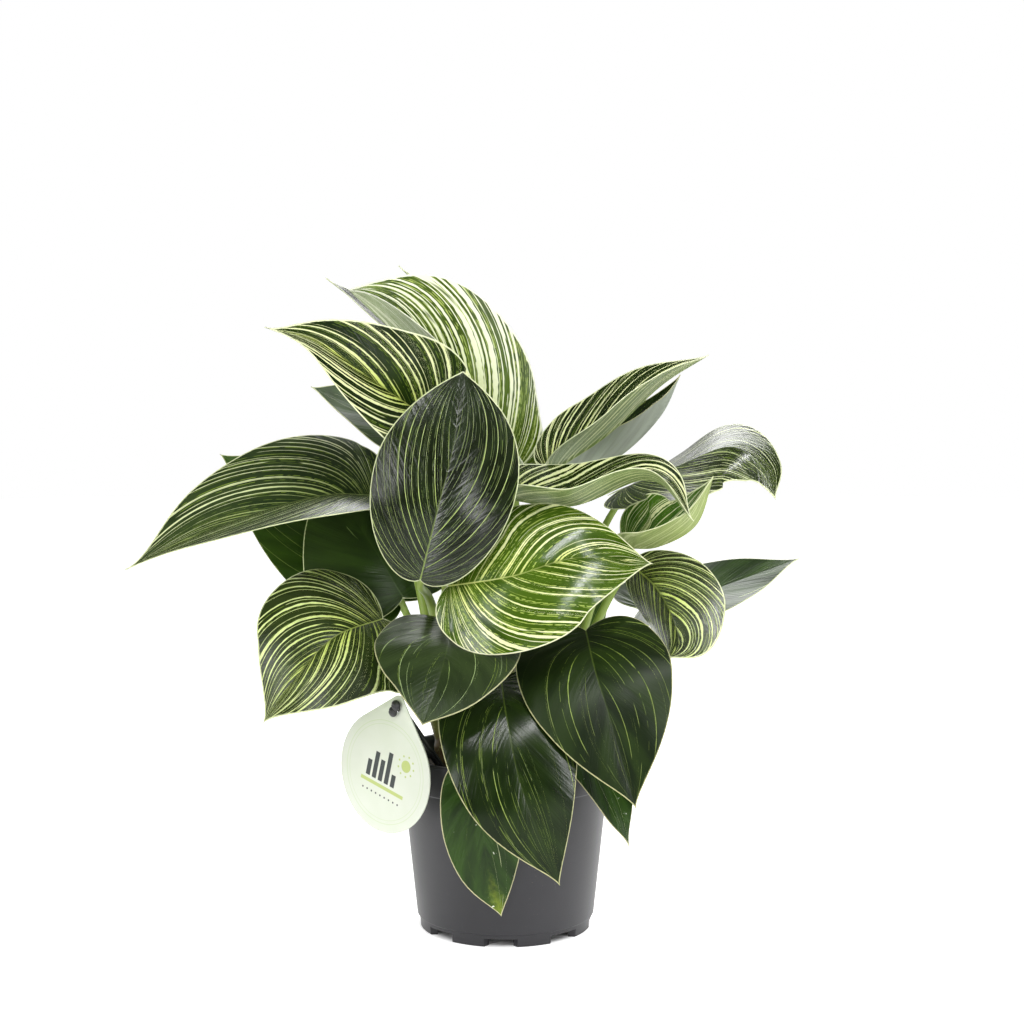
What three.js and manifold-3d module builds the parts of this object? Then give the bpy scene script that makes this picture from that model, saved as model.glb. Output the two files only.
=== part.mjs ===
// A potted birkin philodendron: a 12 cm nursery pot of potting soil, three leafy crowns and a hanging tag.
// Millimetres, +Z up. The origin is the middle of the pot's underside, and -Y is the front.

import * as THREE from "three";
import { mergeVertices } from "three/addons/utils/BufferGeometryUtils.js";
import Module from "manifold-3d";

const wasm = await Module();
wasm.setup();

const clearance = 0.3;

const pot = {
  height: 98,
  rimRadius: 60.5,
  rimBand: 18,
  rimStep: 0.8,
  wallTopRadius: 58.8,
  wallFootRadius: 49.2,
  footBand: 7,
  footRadius: 48,
  wall: 1.5,
  floorLift: 4.4,
  floorThickness: 1.8,
  padRadius: 19,
  ringWidth: 4,
  bevel: 0.5,
  lipDepth: 2.5,
  notches: 8,
  notchWidth: 14,
  notchOverrun: 2,
  notchTurn: -3,
  drainWidth: 9,
  drainLength: 7,
  drainRadius: 37,
  facets: 40,
};

// The soil's surface is a low mound, and the shares are of the radius at its edge.
const soil = {
  edge: 85.5,
  middle: 90,
  moundShares: [1, 0.86, 0.55, 0.25, 0],
  moundPower: 3,
  holeFacets: 16,
};

// "veinSweep" and "veinCurve" shape the side veins, which the rows of the blade's grid follow.
const blade = { thickness: 0.8, veinSweep: 2, veinCurve: 1.35, rows: 11, sideCells: 3, midribSteps: 96 };

// A petiole leaves its stem towards the leaf and upwards, and comes to the blade along the midrib. The
// shares are of the straight way between its ends.
const petiole = {
  baseRadius: 3.2,
  endRadius: 1.5,
  sides: 6,
  steps: 8,
  outwardShare: 0.3,
  alongShare: 0.24,
  dipShare: 0.1,
  underMidrib: 2.5,
};

const tag = {
  discRadius: 33,
  apexHeight: 44,
  apexRadius: 4,
  thickness: 0.8,
  centre: [-64.5, -38, 93],
  turn: -40,
  lean: 15,
  holeHeight: 37,
  holeRadius: 2.3,
  arcSteps: 14,
};

const stake = {
  foot: [-16, -28, 66],
  width: 5,
  depth: 2.2,
  pegRadius: 1.6,
  pegRoot: 1,
  knobRadius: 3,
  knobFlatness: 0.6,
  knobSpread: 2,
  knobSlant: 0.6,
};

const stem = { straight: 94, shoulder: 5, crestShare: 0.5, crestRise: 2, facets: 16 };

// Each crown is a short upright stem. Its foot stands in the soil, and its petioles rise from it.
const crowns = {
  left: { foot: [-34, -8], depth: 58, top: 126, footRadius: 7, topRadius: 4 },
  middle: { foot: [3, 8], depth: 58, top: 138, footRadius: 8, topRadius: 4.5 },
  right: { foot: [32, 0], depth: 58, top: 129, footRadius: 7, topRadius: 4 },
};

// Each leaf: the midrib runs from the petiole to the tip through the given points. "face" is the way its
// upper side looks at mid length, and "fold" lifts its left and right halves, in degrees, as seen from
// the petiole. "curl" bends each half further, and "tip", "swell" and "lobe" set the outline.
const usualLeaf = { tip: 1.5, swell: 1.15, lobe: 2.2, twist: 0, curl: [0, 0], rise: 0.2 };

const leaves = [
  {
    name: "leaf_top", crown: "middle", root: 136, width: 102, fold: [62, 48], curl: [-10, -15],
    face: [0.5, -0.62, 0.5], tip: 1, swell: 1.5,
    midrib: [[5, 49, 248], [-15, 45, 271], [-46, 39, 313], [-89, 39, 354]],
  },
  {
    name: "leaf_upper_left", crown: "left", root: 124, width: 76, fold: [14, 40], curl: [-10, -10],
    face: [0.28, -0.72, 0.64], tip: 1.9,
    midrib: [[-35, -14, 277], [-63, -30, 297], [-98, -45, 322], [-125, -52, 330]],
  },
  {
    name: "leaf_upper_left_under", crown: "left", root: 120, width: 52, fold: [10, 10],
    face: [0.2, -0.6, 0.7],
    midrib: [[-40, 12, 264], [-62, 12, 277], [-88, 7, 290], [-107, 2, 299]],
  },
  {
    name: "leaf_top_back_left", crown: "middle", root: 128, width: 50, fold: [15, 15],
    face: [0.5, -0.3, 0.8],
    midrib: [[-15, 68, 279], [-52, 84, 316], [-78, 90, 341], [-108, 96, 364]],
  },
  {
    name: "leaf_top_back", crown: "middle", root: 132, width: 50, fold: [15, 15],
    face: [0.6, 0.2, 0.7],
    midrib: [[4, 74, 268], [-17, 92, 313], [-42, 103, 349], [-65, 106, 372]],
  },
  {
    name: "leaf_front_upright", crown: "left", root: 112, width: 75, fold: [12, 12], curl: [-15, -20],
    face: [0, -1, 0.2], tip: 1.05, swell: 1.25, lobe: 1.5, rise: 0.75,
    midrib: [[-44, -62, 199], [-35, -63, 235], [-27, -57, 268], [-22, -45, 307]],
  },
  {
    name: "leaf_far_left", crown: "left", root: 116, width: 100, fold: [24, 24], curl: [-10, -20],
    face: [-0.15, -0.5, 0.8], tip: 1.75,
    midrib: [[-72, 2, 239], [-102, -8, 239], [-152, -30, 225], [-200, -48, 203]],
  },
  {
    name: "leaf_left_back", crown: "left", root: 104, width: 94, fold: [10, 10],
    face: [0.3, -0.85, 0.5], swell: 1.25,
    midrib: [[-59, 18, 179], [-89, 34, 208], [-127, 44, 236], [-166, 54, 260]],
  },
  {
    name: "leaf_left_inner", crown: "left", root: 108, width: 92, fold: [5, 5], curl: [-20, -20],
    face: [0.3, -0.8, 0.5],
    midrib: [[-57, 4, 182], [-72, 12, 206], [-89, 19, 230], [-105, 26, 252]],
  },
  {
    name: "leaf_lower_left", crown: "left", root: 100, width: 98, fold: [8, 8], curl: [-20, -20],
    face: [-0.1, -0.85, 0.55], tip: 1.7,
    midrib: [[-66, -25, 174], [-90, -45, 167], [-108, -58, 149], [-127, -60, 123]],
  },
  {
    name: "leaf_front_small", crown: "left", root: 98, width: 76, fold: [8, 8], curl: [-20, -20],
    face: [0, -0.6, 0.8], tip: 1.2, lobe: 2.9,
    midrib: [[-29, -42, 173], [-30, -71, 164], [-34, -92, 149], [-41, -105, 131]],
  },
  {
    name: "leaf_centre", crown: "middle", root: 120, width: 83, fold: [10, 10], curl: [-30, -24],
    face: [0, -0.85, 0.5], swell: 1.25,
    midrib: [[-30, -56, 195], [4, -62, 201], [37, -58, 210], [78, -46, 206]],
  },
  {
    name: "leaf_lower_right", crown: "right", root: 102, width: 81, fold: [8, 8], curl: [-20, -20],
    face: [0, -0.8, 0.55],
    midrib: [[43, -35, 169], [47, -60, 151], [54, -74, 129], [67, -85, 84]],
  },
  {
    name: "leaf_lower_front", crown: "middle", root: 104, width: 71, fold: [5, 5], curl: [-20, -20],
    face: [0.1, -0.9, 0.4], tip: 1.4,
    midrib: [[-2, -48, 144], [1, -74, 128], [9, -88, 94], [28, -88, 45]],
  },
  {
    name: "leaf_over_rim_front", crown: "middle", root: 98, width: 42, fold: [5, 5],
    face: [0.05, -1, 0.1], tip: 1.3, rise: 0.05,
    midrib: [[-15, -67, 101], [-13, -71, 82], [-9, -68, 50], [-2, -64, 22]],
  },
  {
    name: "leaf_over_rim_right", crown: "right", root: 97, width: 46, fold: [5, 5],
    face: [0.45, -0.5, 0.75],
    midrib: [[27, -25, 107], [43, -40, 105], [57, -48, 82], [66, -48, 55]],
  },
  {
    name: "leaf_centre_behind", crown: "right", root: 112, width: 60, fold: [5, 5],
    face: [0.6, -0.7, 0.4],
    midrib: [[26, 50, 192], [36, 55, 178], [46, 58, 164], [52, 58, 145]],
  },
  {
    name: "leaf_right_hanging", crown: "right", root: 116, width: 63, fold: [-12, -35], curl: [-20, -45],
    face: [-0.4, -0.8, 0.45], tip: 1, swell: 1.35, lobe: 2,
    midrib: [[70, -5, 201], [82, -20, 190], [89, -32, 177], [92, -40, 165], [87, -46, 156]],
  },
  {
    name: "leaf_far_right", crown: "right", root: 107, width: 58, fold: [13, 1],
    face: [0, -0.3, 0.95], lobe: 2.8,
    midrib: [[78, 28, 173], [112, 40, 180], [142, 50, 189], [171, 55, 199]],
  },
  {
    name: "leaf_right_arching", crown: "right", root: 124, width: 80, fold: [-5, -14],
    face: [0, -0.38, 0.92], twist: -36, lobe: 2.8, swell: 1.3,
    midrib: [[67, 36, 241], [98, 31, 254], [126, 23, 265], [145, 17, 254], [151, 14, 236]],
  },
  {
    name: "leaf_right_level", crown: "middle", root: 128, width: 72, fold: [28, 24],
    face: [-0.1, -0.1, 1],
    midrib: [[-1, -24, 240], [36, -28, 236], [77, -34, 250], [100, -40, 228]],
  },
  {
    name: "leaf_upper_right", crown: "middle", root: 132, width: 70, fold: [22, 40],
    face: [-0.5, -0.35, 0.8], lobe: 1.6,
    midrib: [[24, 22, 251], [57, 27, 272], [88, 32, 300], [115, 34, 317]],
  },
  {
    name: "leaf_upper_right_back", crown: "right", root: 127, width: 76, fold: [15, 50],
    face: [-0.6, -0.45, 0.7],
    midrib: [[35, 58, 243], [67, 68, 259], [91, 74, 282], [103, 77, 306]],
  },
  {
    name: "leaf_right_young", crown: "right", root: 120, width: 60, fold: [51, 38],
    face: [-0.3, -0.2, 0.9],
    midrib: [[66, -10, 212], [83, -16, 213], [103, -20, 225], [112, -22, 251]],
  },
].map((leaf) => ({ ...usualLeaf, ...leaf }));

const plasticGrey = new THREE.MeshStandardMaterial({ color: 0x48474c, roughness: 0.55, metalness: 0 });
const peat = new THREE.MeshStandardMaterial({ color: 0x2b211a, roughness: 1, metalness: 0 });
const stemGreen = new THREE.MeshStandardMaterial({ color: 0x8a9c4a, roughness: 0.5, metalness: 0 });
const leafGreen = new THREE.MeshStandardMaterial({ color: 0x2f5a2c, roughness: 0.35, metalness: 0 });
const cardWhite = new THREE.MeshStandardMaterial({ color: 0xe6ecd9, roughness: 0.6, metalness: 0 });
const stakeBlack = new THREE.MeshStandardMaterial({ color: 0x1a1a1c, roughness: 0.4, metalness: 0 });

const radians = (degrees) => THREE.MathUtils.degToRad(degrees);
const vector = (values) => new THREE.Vector3(...values);

// Solids for joining and cutting

function toSolid(geometry) {
  const bare = geometry.clone();
  bare.deleteAttribute("normal");
  bare.deleteAttribute("uv");
  const merged = mergeVertices(bare, 1e-4);
  return new wasm.Manifold(new wasm.Mesh({
    numProp: 3,
    vertProperties: Float32Array.from(merged.attributes.position.array),
    triVerts: Uint32Array.from(merged.index.array),
  }));
}

function toGeometry(solid) {
  const mesh = solid.getMesh();
  const geometry = new THREE.BufferGeometry();
  geometry.setAttribute("position", new THREE.BufferAttribute(Float32Array.from(mesh.vertProperties), 3));
  geometry.setIndex(new THREE.BufferAttribute(Uint32Array.from(mesh.triVerts), 1));
  geometry.computeVertexNormals();
  return geometry;
}

function largestPiece(solid) {
  const pieces = solid.decompose();
  return pieces.reduce((best, piece) => (piece.volume() > best.volume() ? piece : best));
}

function placed(geometry, position, turnAboutZ = 0) {
  geometry.rotateZ(turnAboutZ);
  geometry.translate(...position);
  return geometry;
}

// A lathe's outline is given as [radius, height] pairs, and turns about Z.
function turned(outline, facets) {
  const points = outline.map(([radius, height]) => new THREE.Vector2(radius, height));
  const geometry = new THREE.LatheGeometry(points, facets);
  geometry.rotateX(Math.PI / 2);
  return geometry;
}

// Pot

function potInnerRadius(height) {
  const share = (height - pot.footBand) / (pot.height - pot.footBand);
  return THREE.MathUtils.lerp(pot.wallFootRadius, pot.wallTopRadius, share) - pot.wall;
}

function potOutline() {
  const bandFoot = pot.height - pot.rimBand;
  const ringInner = pot.footRadius - pot.ringWidth;
  const floorTop = pot.floorLift + pot.floorThickness;
  const bandFootRadius = potInnerRadius(bandFoot) + pot.wall;
  return [
    [0, 0],
    [pot.padRadius, 0],
    [pot.padRadius, pot.floorLift],
    [ringInner, pot.floorLift],
    [ringInner, 0],
    [pot.footRadius - pot.bevel, 0],
    [pot.footRadius, pot.footBand - pot.bevel],
    [pot.wallFootRadius, pot.footBand],
    [bandFootRadius, bandFoot],
    [bandFootRadius + pot.rimStep, bandFoot + pot.bevel],
    [pot.rimRadius, pot.height - 2 * pot.bevel],
    [pot.rimRadius - pot.bevel, pot.height],
    [pot.rimRadius - pot.wall - 2 * pot.bevel, pot.height],
    [potInnerRadius(pot.height - pot.lipDepth), pot.height - pot.lipDepth],
    [potInnerRadius(floorTop), floorTop],
    [pot.padRadius - pot.floorThickness, floorTop],
    [pot.padRadius - pot.floorThickness, pot.floorThickness],
    [0, pot.floorThickness],
  ];
}

function makePot() {
  let solid = toSolid(turned(potOutline(), pot.facets));
  const ringInner = pot.footRadius - pot.ringWidth;
  for (let i = 0; i < pot.notches; i += 1) {
    const turn = radians(pot.notchTurn - 90 + (360 / pot.notches) * i);
    const notchLength = pot.ringWidth * 3;
    const notch = new THREE.BoxGeometry(notchLength, pot.notchWidth, pot.floorLift * 2);
    notch.translate(ringInner + notchLength / 2 - pot.notchOverrun, 0, 0);
    solid = solid.subtract(toSolid(placed(notch, [0, 0, 0], turn)));
    const drain = new THREE.BoxGeometry(pot.drainLength, pot.drainWidth, pot.floorThickness * 4);
    drain.translate(pot.drainRadius, 0, pot.floorLift + pot.floorThickness / 2);
    solid = solid.subtract(toSolid(placed(drain, [0, 0, 0], turn)));
  }
  return toGeometry(solid);
}

// Soil

function soilOutline() {
  const floorTop = pot.floorLift + pot.floorThickness + clearance;
  const bossRadius = pot.padRadius - pot.floorThickness - clearance;
  const corner = Math.cos(Math.PI / pot.facets);
  const edgeRadius = potInnerRadius(soil.edge) * corner - clearance;
  const mound = soil.moundShares.map((share) => [
    edgeRadius * share,
    THREE.MathUtils.lerp(soil.middle, soil.edge, share ** soil.moundPower),
  ]);
  return [
    [0, pot.floorThickness + clearance],
    [bossRadius, pot.floorThickness + clearance],
    [bossRadius, floorTop],
    [potInnerRadius(floorTop) * corner - clearance, floorTop],
    ...mound,
  ];
}

function makeSoil() {
  let solid = toSolid(turned(soilOutline(), pot.facets));
  for (const crown of Object.values(crowns)) {
    const radius = crown.footRadius + clearance;
    const depth = pot.height - crown.depth + clearance;
    const hole = turned([[0, 0], [radius, 0], [radius, depth], [0, depth]], soil.holeFacets);
    solid = solid.subtract(toSolid(placed(hole, [...crown.foot, crown.depth - clearance])));
  }
  solid = solid.subtract(toSolid(stakeShaft(clearance)));
  return toGeometry(solid);
}

// Leaves

function midribOf(leaf) {
  return new THREE.CatmullRomCurve3(leaf.midrib.map(vector), false, "catmullrom", 0.5);
}

// Frames along the midrib at even steps: place, direction, and the way the upper side looks.
function framesOf(leaf) {
  const steps = blade.midribSteps;
  const curve = midribOf(leaf);
  const frames = [];
  for (let i = 0; i <= steps; i += 1) {
    frames.push({ place: curve.getPointAt(i / steps), along: curve.getTangentAt(i / steps).normalize() });
  }
  const middle = steps / 2;
  const square = (look, along) => look.clone().addScaledVector(along, -look.dot(along)).normalize();
  frames[middle].up = square(vector(leaf.face), frames[middle].along);
  for (let i = middle + 1; i <= steps; i += 1) {
    frames[i].up = square(frames[i - 1].up, frames[i].along);
  }
  for (let i = middle - 1; i >= 0; i -= 1) {
    frames[i].up = square(frames[i + 1].up, frames[i].along);
  }
  frames.forEach((frame, i) => {
    frame.up.applyAxisAngle(frame.along, -radians(leaf.twist) * (i / steps - 0.5));
    frame.side = frame.along.clone().cross(frame.up);
  });
  return { frames, length: curve.getLength() };
}

function frameAt({ frames, length }, distance) {
  const steps = frames.length - 1;
  const station = THREE.MathUtils.clamp(distance / length, 0, 1) * steps;
  const low = Math.min(Math.floor(station), steps - 1);
  const share = station - low;
  const mix = (key) => frames[low][key].clone().lerp(frames[low + 1][key], share);
  const frame = { place: mix("place"), along: mix("along").normalize(), up: mix("up").normalize() };
  frame.side = mix("side").normalize();
  frame.place.addScaledVector(frame.along, Math.min(distance, 0));
  return frame;
}

// The outline at a share u of the way from petiole to tip: how far along, and how wide, both 0 to 1.
function outlineAt(leaf, u) {
  const peak = leaf.swell / (leaf.swell + leaf.tip);
  const widest = peak ** leaf.swell * (1 - peak) ** leaf.tip;
  return {
    along: u - leaf.lobe * u * (1 - u) ** 3,
    wide: (u ** leaf.swell * (1 - u) ** leaf.tip) / widest,
  };
}

// A point of the blade: u runs from petiole to tip with the side veins, v from the left margin (-1)
// over the midrib (0) to the right margin (1).
function bladePoint(leaf, spine, u, v) {
  const reach = Math.abs(v);
  const outline = outlineAt(leaf, u);
  const start = u ** blade.veinSweep;
  const distance = spine.length * (start + (outline.along - start) * reach ** blade.veinCurve);
  const half = leaf.width / 2;
  const across = half * outline.wide * reach;
  const right = v < 0 ? 0 : 1;
  const fold = radians(leaf.fold[right]);
  const bend = radians(leaf.curl[right]) / half;
  const angle = fold + (bend * across) / 2;
  const frame = frameAt(spine, distance);
  return frame.place
    .addScaledVector(frame.side, Math.sign(v) * across * Math.cos(angle))
    .addScaledVector(frame.up, across * Math.sin(angle));
}

// The blade's middle sheet as a grid, with one point at the petiole and one at the tip.
function bladeSheet(leaf) {
  const spine = framesOf(leaf);
  const { rows, sideCells } = blade;
  const points = [bladePoint(leaf, spine, 0, 0)];
  for (let i = 1; i < rows; i += 1) {
    for (let j = -sideCells; j <= sideCells; j += 1) {
      points.push(bladePoint(leaf, spine, i / rows, j / sideCells));
    }
  }
  points.push(bladePoint(leaf, spine, 1, 0));
  const across = 2 * sideCells + 1;
  const tipIndex = points.length - 1;
  const faces = [];
  for (let j = 0; j < across - 1; j += 1) {
    faces.push([0, 1 + j, 2 + j]);
    faces.push([tipIndex, tipIndex - across + j + 1, tipIndex - across + j]);
  }
  for (let i = 0; i < rows - 2; i += 1) {
    for (let j = 0; j < across - 1; j += 1) {
      const corner = 1 + i * across + j;
      const beyond = corner + across;
      if (j < sideCells) {
        faces.push([corner, beyond, corner + 1], [corner + 1, beyond, beyond + 1]);
      } else {
        faces.push([corner, beyond, beyond + 1], [corner, beyond + 1, corner + 1]);
      }
    }
  }
  const left = [0];
  const right = [0];
  for (let i = 0; i < rows - 1; i += 1) {
    left.push(1 + i * across);
    right.push((i + 1) * across);
  }
  return { points, faces, left: [...left, tipIndex], right: [...right, tipIndex] };
}

// The sheet thickened to a closed blade, with the same triangles above and below.
function makeBlade(leaf, thickness) {
  const { points, faces, left, right } = bladeSheet(leaf);
  const sheet = new THREE.BufferGeometry().setFromPoints(points);
  sheet.setIndex(faces.flat());
  sheet.computeVertexNormals();
  const normal = new THREE.Vector3();
  const offset = (side) => points.map((point, i) => {
    normal.fromBufferAttribute(sheet.attributes.normal, i);
    return point.clone().addScaledVector(normal, (side * thickness) / 2);
  });
  const count = points.length;
  const index = [...faces, ...faces.map(([a, b, c]) => [a + count, c + count, b + count])];
  const wall = (margin, flip) => {
    for (let i = 0; i < margin.length - 1; i += 1) {
      const [a, b] = flip ? [margin[i + 1], margin[i]] : [margin[i], margin[i + 1]];
      index.push([a, a + count, b + count], [a, b + count, b]);
    }
  };
  wall(left, false);
  wall(right, true);
  const geometry = new THREE.BufferGeometry().setFromPoints([...offset(1), ...offset(-1)]);
  geometry.setIndex(index.flat());
  geometry.computeVertexNormals();
  return geometry;
}

// Crowns

// A tube of radius 1 along the curve, whose rings are then widened about their own centres. A corner lies
// on the ring whose centre is 1 away from it.
function taperedTube(curve, steps, sides, startRadius, endRadius) {
  const section = new THREE.Shape();
  for (let i = 0; i < sides; i += 1) {
    const angle = (i / sides) * 2 * Math.PI;
    const corner = [Math.cos(angle), Math.sin(angle)];
    if (i === 0) {
      section.moveTo(...corner);
    } else {
      section.lineTo(...corner);
    }
  }
  section.closePath();
  const geometry = new THREE.ExtrudeGeometry(section, { steps, extrudePath: curve, bevelEnabled: false });
  const centres = curve.getSpacedPoints(steps);
  const position = geometry.attributes.position;
  const corner = new THREE.Vector3();
  for (let i = 0; i < position.count; i += 1) {
    corner.fromBufferAttribute(position, i);
    const misses = centres.map((centre) => Math.abs(centre.distanceTo(corner) - 1));
    const ring = misses.indexOf(Math.min(...misses));
    const radius = THREE.MathUtils.lerp(startRadius, endRadius, ring / steps);
    corner.sub(centres[ring]).multiplyScalar(radius).add(centres[ring]);
    position.setXYZ(i, corner.x, corner.y, corner.z);
  }
  return geometry;
}

// The petiole ends just under the midrib's first millimetres.
function petioleCurve(leaf) {
  const root = new THREE.Vector3(...crowns[leaf.crown].foot, leaf.root);
  const frame = frameAt(framesOf(leaf), 0);
  const gap = blade.thickness / 2 + clearance + petiole.endRadius;
  const end = frame.place.addScaledVector(frame.along, petiole.underMidrib).addScaledVector(frame.up, -gap);
  const reach = root.distanceTo(end);
  const leaving = root.clone().lerp(end, petiole.outwardShare);
  leaving.z += leaf.rise * reach;
  const arriving = end.clone().addScaledVector(frame.along, -petiole.alongShare * reach);
  arriving.addScaledVector(frame.up, -petiole.dipShare * reach);
  return new THREE.CubicBezierCurve3(root, leaving, arriving, end);
}

function crownStem(crown) {
  const outline = [
    [0, crown.depth],
    [crown.footRadius, crown.depth],
    [crown.footRadius, stem.straight],
    [crown.topRadius, crown.top - stem.shoulder],
    [crown.topRadius * stem.crestShare, crown.top],
    [0, crown.top + stem.crestRise],
  ];
  return placed(turned(outline, stem.facets), [...crown.foot, 0]);
}

function makeCrown(name) {
  const crown = crowns[name];
  let solid = toSolid(crownStem(crown));
  for (const leaf of leaves.filter((candidate) => candidate.crown === name)) {
    const { steps, sides, baseRadius, endRadius } = petiole;
    const tube = toSolid(taperedTube(petioleCurve(leaf), steps, sides, baseRadius, endRadius));
    const room = toSolid(makeBlade(leaf, blade.thickness + 2 * clearance));
    solid = solid.add(largestPiece(tube.subtract(room)));
  }
  return toGeometry(solid);
}

// Tag

function tagPlace() {
  const turn = new THREE.Matrix4().makeRotationZ(radians(tag.turn));
  const stand = new THREE.Matrix4().makeRotationX(Math.PI / 2);
  const lean = new THREE.Matrix4().makeRotationZ(-radians(tag.lean));
  const matrix = turn.multiply(stand).multiply(lean);
  return matrix.setPosition(...tag.centre);
}

function makeCard() {
  const outline = new THREE.Shape();
  // The straight sides touch both arcs at this angle above the horizontal.
  const spread = Math.asin((tag.discRadius - tag.apexRadius) / (tag.apexHeight - tag.apexRadius));
  outline.absarc(0, 0, tag.discRadius, Math.PI - spread, spread, false);
  outline.absarc(0, tag.apexHeight - tag.apexRadius, tag.apexRadius, spread, Math.PI - spread, false);
  const hole = new THREE.Path();
  hole.absarc(0, tag.holeHeight, tag.holeRadius, 0, 2 * Math.PI, true);
  outline.holes.push(hole);
  const geometry = new THREE.ExtrudeGeometry(outline, {
    depth: tag.thickness,
    bevelEnabled: false,
    curveSegments: tag.arcSteps,
  });
  geometry.translate(0, 0, -tag.thickness / 2);
  return geometry.applyMatrix4(tagPlace());
}

function stakeTop() {
  const behind = tag.thickness / 2 + clearance + stake.depth / 2;
  return new THREE.Vector3(0, tag.holeHeight, -behind).applyMatrix4(tagPlace());
}

function stakeShaft(extra) {
  const foot = vector(stake.foot);
  const top = stakeTop();
  const along = top.clone().sub(foot);
  const length = along.length();
  along.normalize();
  const outward = new THREE.Vector3(0, 0, 1).transformDirection(tagPlace());
  const across = along.clone().cross(outward).normalize();
  const thick = along.clone().cross(across);
  const shaft = new THREE.BoxGeometry(stake.width + 2 * extra, stake.depth + 2 * extra, length + 2 * extra);
  const place = new THREE.Matrix4().makeBasis(across, thick, along);
  return shaft.applyMatrix4(place.setPosition(foot.lerp(top, 0.5)));
}

function makeStake() {
  const seat = tag.thickness / 2 + clearance;
  const pegLength = 2 * (seat + stake.pegRoot);
  const peg = new THREE.CylinderGeometry(stake.pegRadius, stake.pegRadius, pegLength, 12);
  peg.rotateX(Math.PI / 2);
  peg.translate(0, tag.holeHeight, 0);
  let solid = toSolid(stakeShaft(0)).add(toSolid(peg.applyMatrix4(tagPlace())));
  for (const side of [-1, 1]) {
    const lobe = new THREE.SphereGeometry(stake.knobRadius, 8, 6);
    const height = tag.holeHeight + side * stake.knobSpread;
    lobe.scale(1, 1, stake.knobFlatness);
    lobe.translate(side * stake.knobSlant, height, seat + stake.knobRadius * stake.knobFlatness);
    solid = solid.add(toSolid(lobe.applyMatrix4(tagPlace())));
  }
  return toGeometry(solid);
}

// The whole plant

const group = new THREE.Group();

function addPiece(name, geometry, material) {
  const mesh = new THREE.Mesh(geometry, material);
  mesh.name = name;
  group.add(mesh);
}

addPiece("pot", makePot(), plasticGrey);
addPiece("soil", makeSoil(), peat);
for (const name of Object.keys(crowns)) {
  addPiece(`crown_${name}`, makeCrown(name), stemGreen);
}
for (const leaf of leaves) {
  addPiece(leaf.name, makeBlade(leaf, blade.thickness), leafGreen);
}
addPiece("tag_card", makeCard(), cardWhite);
addPiece("tag_stake", makeStake(), stakeBlack);

export default group;
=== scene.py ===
# A potted birkin philodendron: striped heart-shaped leaves on arching stalks, in a nursery pot of soil.

import math

import bmesh
import bpy
import numpy as np
from mathutils import Matrix, Vector, noise


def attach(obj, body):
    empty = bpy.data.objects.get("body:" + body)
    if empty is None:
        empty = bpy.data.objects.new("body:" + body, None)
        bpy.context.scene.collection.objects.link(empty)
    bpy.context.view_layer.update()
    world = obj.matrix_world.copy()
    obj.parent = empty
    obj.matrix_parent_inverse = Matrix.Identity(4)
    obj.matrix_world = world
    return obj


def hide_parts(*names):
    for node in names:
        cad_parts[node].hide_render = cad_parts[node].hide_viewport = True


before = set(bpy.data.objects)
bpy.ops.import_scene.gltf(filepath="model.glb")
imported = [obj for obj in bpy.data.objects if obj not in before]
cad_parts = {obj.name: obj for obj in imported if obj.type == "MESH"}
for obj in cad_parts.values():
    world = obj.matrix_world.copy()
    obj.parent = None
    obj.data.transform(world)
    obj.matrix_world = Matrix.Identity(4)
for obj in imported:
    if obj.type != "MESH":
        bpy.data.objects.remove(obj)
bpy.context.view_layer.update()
mm = 0.001
scene = bpy.context.scene


# Camera and light. The camera comes first, so that every piece can be judged from it.

cameraSettings = {
    "place": (3.6, -1000.0, 300.0),  # millimetres, in front of the plant and a little above its middle
    "tiltDown": 4.0,
    "focalShare": 1817 / 1024,  # focal length as a share of the picture's width
    "sensor": 36.0,
    "clipEnd": 20,
}


def makeCamera(settings):
    data = bpy.data.cameras.new("studioCamera")
    data.sensor_width = settings["sensor"]
    data.lens = settings["sensor"] * settings["focalShare"]
    data.clip_end = settings["clipEnd"]
    camera = bpy.data.objects.new("studioCamera", data)
    camera.location = Vector(settings["place"]) * mm
    camera.rotation_euler = (math.radians(90 - settings["tiltDown"]), 0, 0)
    scene.collection.objects.link(camera)
    scene.camera = camera


makeCamera(cameraSettings)
print("camera placed")


# Node trees. A Value wraps one socket, so that sums on sockets are written as plain expressions.


class Value:
    def __init__(self, socket):
        self.socket = socket
        self.tree = socket.id_data

    def joined(self, operation, *others):
        inputs = dict(enumerate((self, *others)))
        return addNode(self.tree, "ShaderNodeMath", {"operation": operation}, inputs)["Value"]

    def reversed(self, operation, other):
        inputs = {0: other, 1: self}
        return addNode(self.tree, "ShaderNodeMath", {"operation": operation}, inputs)["Value"]

    def __add__(self, other):
        return self.joined("ADD", other)

    def __radd__(self, other):
        return self.joined("ADD", other)

    def __sub__(self, other):
        return self.joined("SUBTRACT", other)

    def __rsub__(self, other):
        return self.reversed("SUBTRACT", other)

    def __mul__(self, other):
        return self.joined("MULTIPLY", other)

    def __pow__(self, other):
        return self.joined("POWER", other)

    def __gt__(self, other):
        return self.joined("GREATER_THAN", other)

    def __lt__(self, other):
        return self.joined("LESS_THAN", other)

    def __abs__(self):
        return self.joined("ABSOLUTE")


class Outputs:
    def __init__(self, node):
        self.node = node

    def __getitem__(self, name):
        return Value(self.node.outputs[name])


def addNode(tree, kind, settings=None, inputs=None):
    node = tree.nodes.new(kind)
    for name, value in (settings or {}).items():
        if name == "stops":
            fillRamp(node.color_ramp, value)
        else:
            setattr(node, name, value)
    for name, value in (inputs or {}).items():
        socket = node.inputs[name]
        if isinstance(value, Value):
            tree.links.new(value.socket, socket)
        elif socket.type == "RGBA" and len(value) == 3:
            socket.default_value = (*value, 1)
        else:
            socket.default_value = value
    return Outputs(node)


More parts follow.
